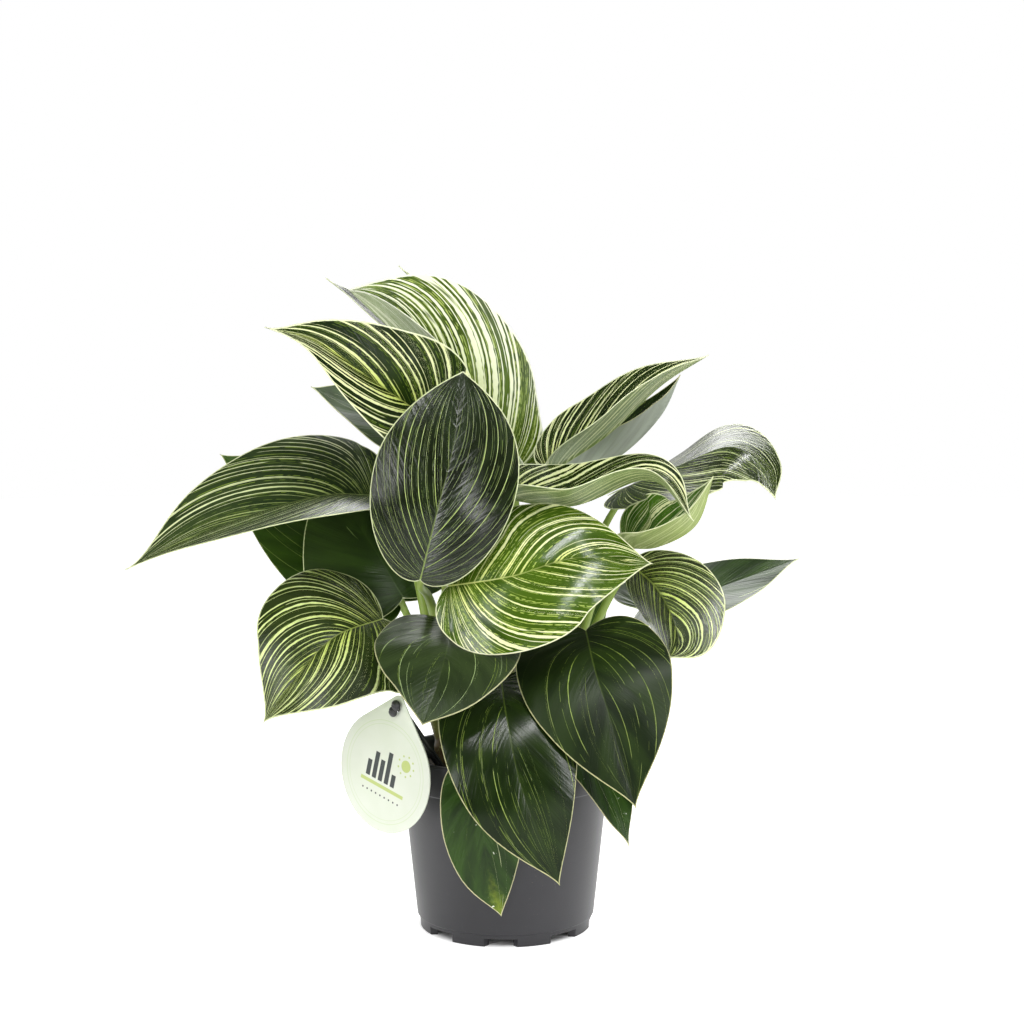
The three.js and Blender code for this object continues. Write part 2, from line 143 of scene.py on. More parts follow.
def fillRamp(ramp, stops):
    while len(ramp.elements) < len(stops):
        ramp.elements.new(1)
    for element, (place, colour) in zip(ramp.elements, stops):
        element.position = place
        element.color = (*colour, 1)


class Skin:
    def __init__(self, name):
        self.material = bpy.data.materials.new(name)
        self.material.use_nodes = True
        self.tree = self.material.node_tree
        self.tree.nodes.clear()

    def add(self, kind, settings=None, inputs=None):
        return addNode(self.tree, kind, settings, inputs)

    def split(self, vector):
        parts = self.add("ShaderNodeSeparateXYZ", None, {0: vector})
        return parts["X"], parts["Y"], parts["Z"]

    def pack(self, x, y, z):
        return self.add("ShaderNodeCombineXYZ", None, {"X": x, "Y": y, "Z": z})["Vector"]

    def place(self):
        return self.add("ShaderNodeTexCoord")["Object"]

    def attribute(self, name):
        return self.add("ShaderNodeAttribute", {"attribute_name": name})

    def noise(self, vector, scale=1.0, detail=2.0, roughness=0.5):
        inputs = {"Vector": vector, "Scale": scale, "Detail": detail, "Roughness": roughness}
        return self.add("ShaderNodeTexNoise", None, inputs)["Fac"]

    def step(self, value, low, high):
        inputs = {"Value": value, "From Min": low, "From Max": high}
        return self.add("ShaderNodeMapRange", {"interpolation_type": "SMOOTHSTEP"}, inputs)["Result"]

    def blend(self, share, first, second):
        node = self.add("ShaderNodeMix", {"data_type": "RGBA"})
        for index, value in ((0, share), (6, first), (7, second)):
            socket = node.node.inputs[index]
            if isinstance(value, Value):
                self.tree.links.new(value.socket, socket)
            else:
                socket.default_value = value if index == 0 else (*value, 1)
        return Value(node.node.outputs[2])

    def ramp(self, value, stops):
        return self.add("ShaderNodeValToRGB", {"stops": stops}, {"Fac": value})["Color"]

    def bump(self, height, distance, strength):
        inputs = {"Height": height, "Distance": distance, "Strength": strength}
        return self.add("ShaderNodeBump", None, inputs)["Normal"]

    def finish(self, inputs):
        surface = self.add("ShaderNodeBsdfPrincipled", None, inputs)
        self.add("ShaderNodeOutputMaterial", None, {"Surface": surface["BSDF"]})
        return self.material


# Studio: a pale floor that glows with painted light and holds a painted shadow round the pot, a soft world
# and softboxes

studio = {
    "floorRadius": 4.0,
    "floorSides": 96,
    "floorTone": (0.82, 0.82, 0.82),
    "floorGlow": (0.0, 0.9),  # painted glow of the floor: none under the pot, so a painted shadow rings its foot, and full out where the floor meets the background
    # the painted contact shadow round the pot's foot: no glow inside the first radius, full glow beyond the
    # second
    "glowFrom": 0.041,
    "glowTo": 0.052,
    "dimInFront": (-0.3, -0.2),  # the glow grows between these two along y
    "dimOut": (0.5, 1.3),  # and at any side between these distances
    "background": 1.0,
    "skyFront": 0.04,
    "skyBack": 0.6,
    "skyTop": 0.13,
    "skyBackZone": (0.1, 0.8),
    "skyTopZone": (0.25, 0.85),
    "boxes": [
        {
            "name": "leftBox", "place": (-0.8, -1.05, 1.0), "size": (0.2, 1.7),
            "aim": (0, 0, 0.7), "power": 5.5,
        },
        {
            "name": "rightBox", "place": (0.78, -1.0, 1.0), "size": (0.08, 1.8),
            "aim": (0, 0, 0.7), "power": 5.5,
        },
        {
            "name": "frontBox", "place": (-0.3, -1.7, 0.65), "size": (0.2, 0.5),
            "aim": (0, 0, 0.2), "power": 1.3,
        },
        {
            "name": "slantBox", "place": (0.39, -0.71, 1.35), "size": (0.07, 1.25),
            "aim": (0.05, -0.06, 0.2), "power": 4.6, "along": (-0.52, -0.8, -0.3),
        },
        {
            "name": "backBox", "place": (0.3, 1.2, 1.3), "size": (1.5, 0.8),
            "aim": (0, 0, 0.25), "power": 7.0,
        },
    ],
    "spread": 110,
}


def makeFloor():
    skin = Skin("paleFloor")
    x, y, _ = skin.split(skin.place())
    reach = (x * x + y * y) ** 0.5
    low, high = studio["floorGlow"]
    seen = skin.step(y, *studio["dimInFront"]).joined("MAXIMUM", skin.step(reach, *studio["dimOut"]))
    # The floor's emission is painted light; round the pot's foot it drops to nothing, a painted contact
    # shadow.
    paintedGlow = (skin.step(reach, studio["glowFrom"], studio["glowTo"]) * (high - low) + low) * seen
    light = skin.add("ShaderNodeEmission", None, {"Color": (1, 1, 1), "Strength": paintedGlow})
    matt = skin.add("ShaderNodeBsdfDiffuse", None, {"Color": studio["floorTone"]})
    both = skin.add("ShaderNodeAddShader", None, {0: light["Emission"], 1: matt["BSDF"]})
    skin.add("ShaderNodeOutputMaterial", None, {"Surface": both["Shader"]})
    sides = studio["floorSides"]
    around = [2 * math.pi * i / sides for i in range(sides)]
    rim = [(math.cos(a) * studio["floorRadius"], math.sin(a) * studio["floorRadius"], 0) for a in around]
    mesh = bpy.data.meshes.new("studioFloor")
    mesh.from_pydata(rim, [], [list(range(sides))])
    mesh.materials.append(skin.material)
    floor = bpy.data.objects.new("studioFloor", mesh)
    scene.collection.objects.link(floor)


def makeWorld():
    world = bpy.data.worlds.new("studioWorld")
    world.use_nodes = True
    tree = world.node_tree
    tree.nodes.clear()
    direction = addNode(tree, "ShaderNodeTexCoord")["Generated"]
    parts = addNode(tree, "ShaderNodeSeparateXYZ", None, {0: direction})
    backFrom, backTo = studio["skyBackZone"]
    backward = addNode(tree, "ShaderNodeMapRange", {"interpolation_type": "SMOOTHSTEP"}, {
        "Value": parts["Y"], "From Min": backFrom, "From Max": backTo,
        "To Min": studio["skyFront"], "To Max": studio["skyBack"],
    })["Result"]
    topFrom, topTo = studio["skyTopZone"]
    upward = addNode(tree, "ShaderNodeMapRange", {"interpolation_type": "SMOOTHSTEP"}, {
        "Value": parts["Z"], "From Min": topFrom, "From Max": topTo, "To Max": studio["skyTop"],
    })["Result"]
    sky = backward.joined("MAXIMUM", upward)
    seen = addNode(tree, "ShaderNodeLightPath")["Is Camera Ray"]
    strength = seen * studio["background"] + (1 - seen) * sky
    light = addNode(tree, "ShaderNodeBackground", None, {"Color": (1, 1, 1), "Strength": strength})
    addNode(tree, "ShaderNodeOutputWorld", None, {"Surface": light["Background"]})
    scene.world = world


def makeBoxes():
    for box in studio["boxes"]:
        data = bpy.data.lights.new(box["name"], "AREA")
        data.shape = "RECTANGLE"
        data.size, data.size_y = box["size"]
        data.energy = box["power"]
        data.spread = math.radians(studio["spread"])
        light = bpy.data.objects.new(box["name"], data)
        light.location = box["place"]
        back = (light.location - Vector(box["aim"])).normalized()
        across = Vector(box.get("along", (0, 0, 1))).cross(back).normalized()
        light.rotation_euler = Matrix((across, back.cross(across), back)).transposed().to_euler()
        scene.collection.objects.link(light)


makeFloor()
makeWorld()
makeBoxes()
scene.view_settings.view_transform = "Standard"
print("studio lit")


# Meshes


def makePiece(name, points, faces, materials):
    mesh = bpy.data.meshes.new(name)
    mesh.from_pydata([tuple(point) for point in np.asarray(points) * mm], [], faces)
    for material in materials:
        mesh.materials.append(material)
    mesh.polygons.foreach_set("use_smooth", [True] * len(mesh.polygons))
    piece = bpy.data.objects.new(name, mesh)
    scene.collection.objects.link(piece)
    return piece


def setAttribute(piece, name, values):
    values = np.asarray(values, np.float32)
    kind, key = ("FLOAT_VECTOR", "vector") if values.ndim == 2 else ("FLOAT", "value")
    layer = piece.data.attributes.new(name, kind, "POINT")
    layer.data.foreach_set(key, values.ravel())


def settle(piece):  # works a piece's modifiers into its mesh
    graph = bpy.context.evaluated_depsgraph_get()
    mesh = bpy.data.meshes.new_from_object(piece.evaluated_get(graph), depsgraph=graph)
    piece.modifiers.clear()
    piece.data = mesh
    mesh.name = piece.name


def standsFor(piece, node):
    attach(piece, "root")
    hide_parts(node)


def unit(vectors):
    return vectors / np.maximum(np.linalg.norm(vectors, axis=-1, keepdims=True), 1e-12)


# Leaf shape: the same midribs, folds and outlines as the solids, on a finer grid with veins and a rib

leafForm = {
    "thickness": 0.62,
    "thinning": 0.35,  # the share of its thickness that the blade loses at its margin
    "rows": 116,
    "rowsToTip": 1.4,
    "cells": 16,
    "veinSweep": 3.4,
    "veinStart": 0.75,
    "veinCurve": 2.2,
    "pathSteps": 400,
    "midribSteps": 96,
    "outlineSteps": 300,
    "grooveDepth": 0.1,
    "grooveWidth": 1.1,
    "ribHeight": 1.25,
    "ribWidth": 1.3,
    "ribEnd": 1.4,  # the rib, its groove and the veins die away over the last part of the blade
    "ribFade": 0.7,
    "veins": 12,
    "veinDepth": 0.11,
    "veinCrowding": 0.85,
    "veinShift": 0.31,  # each leaf's veins and waves start a little further on
    "veinBelow": 0.5,  # how much of the veins' depth shows on the underside
    "waves": 3.0,
    "waveHeight": 0.6,
    "waveShift": 0.37,
    "waveOffset": 0.4,  # between the two halves of a blade, as a share of a wave
    "waveFade": 0.7,
    "rimBulge": 0.22,
}

# Millimetres and degrees; a pair is the blade's left and right half, and face is where its middle looks
usualLeaf = {"tip": 1.5, "swell": 1.15, "lobe": 2.2, "twist": 0, "curl": (0, 0), "rise": 0.2}

leaves = [
    {
        "name": "leaf_top", "look": "pale", "crown": "middle", "root": 136, "width": 102,
        "fold": (62, 48), "curl": (-10, -15), "face": (0.5, -0.62, 0.5), "tip": 1, "swell": 1.5,
        "midrib": [(5, 49, 248), (-15, 45, 271), (-46, 39, 313), (-89, 39, 354)],
    },
    {
        "name": "leaf_upper_left", "look": "sharp", "crown": "left", "root": 124, "width": 76,
        "fold": (14, 40), "curl": (-10, -10), "face": (0.28, -0.72, 0.64), "tip": 1.9,
        "midrib": [(-35, -14, 277), (-63, -30, 297), (-98, -45, 322), (-125, -52, 330)],
    },
    {
        "name": "leaf_upper_left_under", "look": "plain", "crown": "left", "root": 120, "width": 52,
        "fold": (10, 10), "face": (0.2, -0.6, 0.7),
        "midrib": [(-40, 12, 264), (-62, 12, 277), (-88, 7, 290), (-107, 2, 299)],
    },
    {
        "name": "leaf_top_back_left", "look": "fine", "crown": "middle", "root": 128, "width": 50,
        "fold": (15, 15), "face": (0.5, -0.3, 0.8),
        "midrib": [(-15, 68, 279), (-52, 84, 316), (-78, 90, 341), (-108, 96, 364)],
    },
    {
        "name": "leaf_top_back", "look": "streaked", "crown": "middle", "root": 132, "width": 50,
        "fold": (15, 15), "face": (0.6, 0.2, 0.7),
        "midrib": [(4, 74, 268), (-17, 92, 313), (-42, 103, 349), (-65, 106, 372)],
    },
    {
        "name": "leaf_front_upright", "look": "fine", "crown": "left", "root": 112, "width": 75,
        "fold": (12, 12), "curl": (-15, -20), "face": (0, -1, 0.2), "tip": 1.05, "swell": 1.25,
        "lobe": 1.5, "rise": 0.75,
        "midrib": [(-44, -62, 199), (-35, -63, 235), (-27, -57, 268), (-22, -45, 307)],
    },
    {
        "name": "leaf_far_left", "look": "muted", "crown": "left", "root": 116, "width": 100,
        "fold": (24, 24), "curl": (-10, -20), "face": (-0.15, -0.5, 0.8), "tip": 1.75,
        "midrib": [(-72, 2, 239), (-102, -8, 239), (-152, -30, 225), (-200, -48, 203)],
    },
    {
        "name": "leaf_left_back", "look": "mid", "crown": "left", "root": 104, "width": 94,
        "fold": (10, 10), "face": (0.3, -0.85, 0.5), "swell": 1.25,
        "midrib": [(-59, 18, 179), (-89, 34, 208), (-127, 44, 236), (-166, 54, 260)],
    },
    {
        "name": "leaf_left_inner", "look": "plain", "crown": "left", "root": 108, "width": 92,
        "fold": (5, 5), "curl": (-20, -20), "face": (0.3, -0.8, 0.5),
        "midrib": [(-57, 4, 182), (-72, 12, 206), (-89, 19, 230), (-105, 26, 252)],
    },
    {
        "name": "leaf_lower_left", "look": "golden", "crown": "left", "root": 100, "width": 98,
        "fold": (8, 8), "curl": (-20, -20), "face": (-0.1, -0.85, 0.55), "tip": 1.7,
        "midrib": [(-66, -25, 174), (-90, -45, 167), (-108, -58, 149), (-127, -60, 123)],
    },
    {
        "name": "leaf_front_small", "look": "faint", "crown": "left", "root": 98, "width": 76,
        "fold": (8, 8), "curl": (-20, -20), "face": (0, -0.6, 0.8), "tip": 1.2, "lobe": 2.9,
        "midrib": [(-29, -42, 173), (-30, -71, 164), (-34, -92, 149), (-41, -105, 131)],
    },
    {
        "name": "leaf_centre", "look": "bright", "crown": "middle", "root": 120, "width": 83,
        "fold": (10, 10), "curl": (-30, -24), "face": (0, -0.85, 0.5), "swell": 1.25,
        "midrib": [(-30, -56, 195), (4, -62, 201), (37, -58, 210), (78, -46, 206)],
    },
    {
        "name": "leaf_lower_right", "look": "calm", "crown": "right", "root": 102, "width": 81,
        "fold": (8, 8), "curl": (-20, -20), "face": (0, -0.8, 0.55),
        "midrib": [(43, -35, 169), (47, -60, 151), (54, -74, 129), (67, -85, 84)],
    },
    {
        "name": "leaf_lower_front", "look": "few", "crown": "middle", "root": 104, "width": 71,
        "fold": (5, 5), "curl": (-20, -20), "face": (0.1, -0.9, 0.4), "tip": 1.4,
        "midrib": [(-2, -48, 144), (1, -74, 128), (9, -88, 94), (28, -88, 45)],
    },
    {
        "name": "leaf_over_rim_front", "look": "tipped", "crown": "middle", "root": 98, "width": 42,
        "fold": (5, 5), "face": (0.05, -1, 0.1), "tip": 1.3, "rise": 0.05,
        "midrib": [(-15, -67, 101), (-13, -71, 82), (-9, -68, 50), (-2, -64, 22)],
    },
    {
        "name": "leaf_over_rim_right", "look": "spotted", "crown": "right", "root": 97, "width": 46,
        "fold": (5, 5), "face": (0.45, -0.5, 0.75),
        "midrib": [(27, -25, 107), (43, -40, 105), (57, -48, 82), (66, -48, 55)],
    },
    {
        "name": "leaf_centre_behind", "look": "mid", "crown": "right", "root": 112, "width": 60,
        "fold": (5, 5), "face": (0.6, -0.7, 0.4),
        "midrib": [(26, 50, 192), (36, 55, 178), (46, 58, 164), (52, 58, 145)],
    },
    {
        "name": "leaf_right_hanging", "look": "draped", "crown": "right", "root": 116, "width": 63,
        "fold": (-12, -35), "curl": (-20, -45), "face": (-0.4, -0.8, 0.45), "tip": 1, "swell": 1.35,
        "lobe": 2,
        "midrib": [(70, -5, 201), (82, -20, 190), (89, -32, 177), (92, -40, 165), (87, -46, 156)],
    },
    {
        "name": "leaf_far_right", "look": "plain", "crown": "right", "root": 107, "width": 58,
        "fold": (13, 1), "face": (0, -0.3, 0.95), "lobe": 2.8,
        "midrib": [(78, 28, 173), (112, 40, 180), (142, 50, 189), (171, 55, 199)],
    },
    {
        "name": "leaf_right_arching", "look": "lined", "crown": "right", "root": 124, "width": 80,
        "fold": (-5, -14), "face": (0, -0.38, 0.92), "swell": 1.3, "lobe": 2.8, "twist": -36,
        "midrib": [(67, 36, 241), (98, 31, 254), (126, 23, 265), (145, 17, 254), (151, 14, 236)],
    },
    {
        "name": "leaf_right_level", "look": "streaked", "crown": "middle", "root": 128, "width": 72,
        "fold": (28, 24), "face": (-0.1, -0.1, 1),
        "midrib": [(-1, -24, 240), (36, -28, 236), (77, -34, 250), (100, -40, 228)],
    },
    {
        "name": "leaf_upper_right", "look": "streaked", "crown": "middle", "root": 132, "width": 70,
        "fold": (22, 40), "face": (-0.5, -0.35, 0.8), "lobe": 1.6,
        "midrib": [(24, 22, 251), (57, 27, 272), (88, 32, 300), (115, 34, 317)],
    },
    {
        "name": "leaf_upper_right_back", "look": "few", "crown": "right", "root": 127, "width": 76,
        "fold": (15, 50), "face": (-0.6, -0.45, 0.7),
        "midrib": [(35, 58, 243), (67, 68, 259), (91, 74, 282), (103, 77, 306)],
    },
    {
        "name": "leaf_right_young", "look": "young", "crown": "right", "root": 120, "width": 60,
        "fold": (51, 38), "face": (-0.3, -0.2, 0.9),
        "midrib": [(66, -10, 212), (83, -16, 213), (103, -20, 225), (112, -22, 251)],
    },
]
leaves = [{**usualLeaf, **leaf} for leaf in leaves]


def smoothPath(points, samples):  # a Catmull-Rom curve through the points
    points = np.asarray(points, float)
    points = np.vstack([2 * points[0] - points[1], points, 2 * points[-1] - points[-2]])
    stretches = len(points) - 3
    place = np.linspace(0, stretches, samples + 1)
    first = np.minimum(place.astype(int), stretches - 1)
    t = (place - first)[:, None]
    a, b, c, d = (points[first + i] for i in range(4))
    return 0.5 * (2 * b + (c - a) * t + (2 * a - 5 * b + 4 * c - d) * t**2 + (3 * b - a - 3 * c + d) * t**3)


def squared(face, along):
    return unit(face - along * np.dot(face, along))


def turnedAbout(vector, axis, angle):
    return Matrix.Rotation(angle, 3, Vector(axis)) @ Vector(vector)


def midribFrames(leaf):
    steps = leafForm["midribSteps"]
    path = smoothPath(leaf["midrib"], leafForm["pathSteps"])
    run = np.concatenate([[0], np.cumsum(np.linalg.norm(np.diff(path, axis=0), axis=1))])
    stations = np.linspace(0, run[-1], steps + 1)
    place = np.stack([np.interp(stations, run, path[:, i]) for i in range(3)], 1)
    slope = np.gradient(path, run, axis=0)
    along = unit(np.stack([np.interp(stations, run, slope[:, i]) for i in range(3)], 1))
    up = np.zeros_like(along)
    middle = steps // 2
    up[middle] = squared(np.asarray(leaf["face"], float), along[middle])
    for i in range(middle + 1, steps + 1):
        up[i] = squared(up[i - 1], along[i])
    for i in range(middle - 1, -1, -1):
        up[i] = squared(up[i + 1], along[i])
    turns = -np.radians(leaf["twist"]) * (np.arange(steps + 1) / steps - 0.5)
    up = np.array([turnedAbout(up[i], along[i], turns[i]) for i in range(steps + 1)])
    return {"place": place, "along": along, "up": up, "side": np.cross(along, up), "length": run[-1]}


def frameAt(frames, distance):
    steps = len(frames["place"]) - 1
    station = np.clip(distance / frames["length"], 0, 1) * steps
    low = np.minimum(station.astype(int), steps - 1)
    share = (station - low)[..., None]
    mixed = {key: frames[key][low] * (1 - share) + frames[key][low + 1] * share
             for key in ("place", "along", "up", "side")}
    for key in ("along", "up", "side"):
        mixed[key] = unit(mixed[key])
    mixed["place"] = mixed["place"] + mixed["along"] * np.minimum(distance, 0)[..., None]
    return mixed


def widthShare(leaf, u):
    peak = leaf["swell"] / (leaf["swell"] + leaf["tip"])
    widest = peak ** leaf["swell"] * (1 - peak) ** leaf["tip"]
    return u ** leaf["swell"] * (1 - u) ** leaf["tip"] / widest


def bladeSheet(leaf, frames, u, v, seed):
    reach = np.abs(v)
    start = u ** leafForm["veinSweep"]
    marginAlong = u - leaf["lobe"] * u * (1 - u) ** 3
    bent = leafForm["veinStart"] * reach + (1 - leafForm["veinStart"]) * reach ** leafForm["veinCurve"]
    distance = frames["length"] * (start + (marginAlong - start) * bent)
    half = leaf["width"] / 2
    across = half * widthShare(leaf, u) * reach
    right = v > 0
    fold = np.radians(np.where(right, leaf["fold"][1], leaf["fold"][0]))
    bend = np.radians(np.where(right, leaf["curl"][1], leaf["curl"][0])) / half
    angle = fold + bend * across / 2
    at = frameAt(frames, distance)
    phase = leafForm["waves"] * u + seed * leafForm["waveShift"] + right * leafForm["waveOffset"]
    wave = leafForm["waveHeight"] * reach**3 * np.sin(2 * np.pi * phase)
    wave = wave * np.sin(np.pi * u) ** leafForm["waveFade"]
    sideways = (np.sign(v) * across * np.cos(angle))[..., None]
    lifted = (across * np.sin(angle) + wave)[..., None]
    return at["place"] + at["side"] * sideways + at["up"] * lifted, across, distance


def bladeGrid():
    rows = leafForm["rows"]
    cells = leafForm["cells"]
    share = 0.5 - 0.5 * np.cos(np.pi * np.arange(cells + 1) / cells)  # finer at the rib and the margin
    v = np.concatenate([-share[:0:-1], share])
    u = 1 - (1 - np.arange(rows + 1) / rows) ** leafForm["rowsToTip"]
    return np.meshgrid(u, v, indexing="ij")


def gridNormals(points):
    downRows = np.gradient(points, axis=0)
    acrossRows = np.gradient(points, axis=1)
    normals = np.cross(acrossRows, downRows)
    normals[0] = normals[1]
    normals[-1] = normals[-2]
    return unit(normals)


def gaussian(distance, width):
    return np.exp(-((distance / width) ** 2))


def makeLeaf(leaf, seed, materials):
    frames = midribFrames(leaf)
    u, v = bladeGrid()
    sheet, across, distance = bladeSheet(leaf, frames, u, v, seed)
    normals = gridNormals(sheet)
    facing = np.sum(normals * frameAt(frames, frames["length"] * u)["up"])
    normals = normals * np.sign(facing)
    reach = np.abs(v)
    half = leafForm["thickness"] / 2 * (1 - leafForm["thinning"] * reach**4)
    ribFade = np.clip((1 - u) * leafForm["ribEnd"], 0, 1) ** leafForm["ribFade"]
    groove = leafForm["grooveDepth"] * gaussian(across, leafForm["grooveWidth"]) * ribFade
    rib = leafForm["ribHeight"] * gaussian(across, leafForm["ribWidth"]) * ribFade
    veinPlace = leafForm["veins"] * u ** leafForm["veinCrowding"] + seed * leafForm["veinShift"]
    ripple = np.cos(2 * np.pi * veinPlace) * np.sin(np.pi * reach) ** 1.5
    inset = leafForm["veinDepth"] * ripple * ribFade
    top = sheet + normals * (half - groove - inset)[..., None]
    under = sheet - normals * (half + rib + inset * leafForm["veinBelow"])[..., None]
    outward = unit(sheet[:, [0, -1]] - sheet[:, [1, -2]])
    rim = sheet[:, [0, -1]] + outward * leafForm["rimBulge"]
    gap = marginDistance(leaf, frames["length"], distance, across)
    return leafMesh(leaf, seed, top, under, rim, u, v, across, gap, materials)


def marginDistance(leaf, length, distance, across):  # to the nearest point of the flat blade's outline
    u = np.linspace(0, 1, leafForm["outlineSteps"])
    along = length * (u - leaf["lobe"] * u * (1 - u) ** 3)
    out = leaf["width"] / 2 * widthShare(leaf, u)
    apart = np.hypot(distance.ravel()[:, None] - along, across.ravel()[:, None] - out)
    return apart.min(axis=1).reshape(distance.shape)


def leafMesh(leaf, seed, top, under, rim, u, v, across, gap, materials):
    rows, columns = u.shape
    count = rows * columns
    points = np.concatenate([top.reshape(-1, 3), under.reshape(-1, 3), rim.reshape(-1, 3)])
    index = np.arange(count).reshape(rows, columns)
    rimIndex = 2 * count + np.arange(rows * 2).reshape(rows, 2)
    index[0] = index[0, columns // 2]  # every side vein starts at the stalk
    index[-1] = index[-1, columns // 2]
    faces = []
    marks = []
    for i in range(rows - 1):
        for j in range(columns - 1):
            cell = (index[i, j], index[i, j + 1], index[i + 1, j + 1], index[i + 1, j])
            faces.append(cell)
            faces.append(tuple(k + count for k in reversed(cell)))
            marks += [0, 1]
        for edge, column, way in ((0, 0, 1), (1, columns - 1, -1)):
            upper = (index[i, column], index[i + 1, column])
            middle = (rimIndex[i, edge], rimIndex[i + 1, edge])
            lower = (upper[0] + count, upper[1] + count)
            faces.append((upper[0], upper[1], middle[1], middle[0])[::way])
            faces.append((middle[0], middle[1], lower[1], lower[0])[::way])
            marks += [0, 0]
    faces = [tuple(dict.fromkeys(int(k) for k in face)) for face in faces]
    kept = [(face, mark) for face, mark in zip(faces, marks) if len(face) > 2]
    piece = makePiece(leaf["name"] + "_fine", points, [face for face, _ in kept], materials)
    piece.data.polygons.foreach_set("material_index", [mark for _, mark in kept])
    layers = {"vein": np.stack([u, v, np.full_like(u, seed)], -1), "gap": np.stack([gap, across, u], -1)}
    for name, values in layers.items():
        sheetValues = values.reshape(-1, 3)
        rimValues = values[:, [0, columns - 1]].reshape(-1, 3)
        setAttribute(piece, name, np.concatenate([sheetValues, sheetValues, rimValues]))
    return cleaned(piece)


def cleaned(piece):  # drops points that no face uses, and turns every face outwards
    mesh = piece.data
    work = bmesh.new()
    work.from_mesh(mesh)
    loose = [point for point in work.verts if not point.link_faces]
    bmesh.ops.delete(work, geom=loose, context="VERTS")
    bmesh.ops.remove_doubles(work, verts=work.verts, dist=1e-7)
    bmesh.ops.recalc_face_normals(work, faces=work.faces)
    work.to_mesh(mesh)
    work.free()
    return piece


# Leaf finish. A look says how the cream lines lie over the green.

# Each kind of line is given as its number of lanes from base to tip, half its width as a share of a lane,
# and the share of the lanes that carry one.
usualLook = {
    "deep": (0.010, 0.017, 0.003),  # the blade clouds between deep and green
    "green": (0.021, 0.036, 0.005),
    "cream": (0.60, 0.66, 0.34),  # lines near the margin
    "gold": (0.36, 0.45, 0.10),  # lines near the midrib, and the midrib
    "fleck": (0.17, 0.25, 0.035),  # the hairs
    "edging": (0.58, 0.62, 0.36),
    "broad": (16, 0.10, 0.0),
    "pins": (24, 0.06, 0.75),
    "hairs": (80, 0.12, 0.35),
    "hairTone": 0.8,
    "breaks": 0.36,  # more of it breaks the pins more often
    "lineStart": 0.0,  # how far out from the midrib a line may begin, as a share of the half blade
    "tipPlain": 1.2,  # from this share of the length on, no line shows
    "sweep": 0.3,  # how far the lines lean towards the tip
    "margin": 0.45,  # the edging's width in millimetres
    "rib": 0.5,
    "rough": 0.26,
    "gloss": 0.3,
    "relief": 1.0,
    "tipTone": 0.0,
    "specks": 0.0,
    "under": (0.26, 0.34, 0.20),
    "underStripe": 0.4,
}

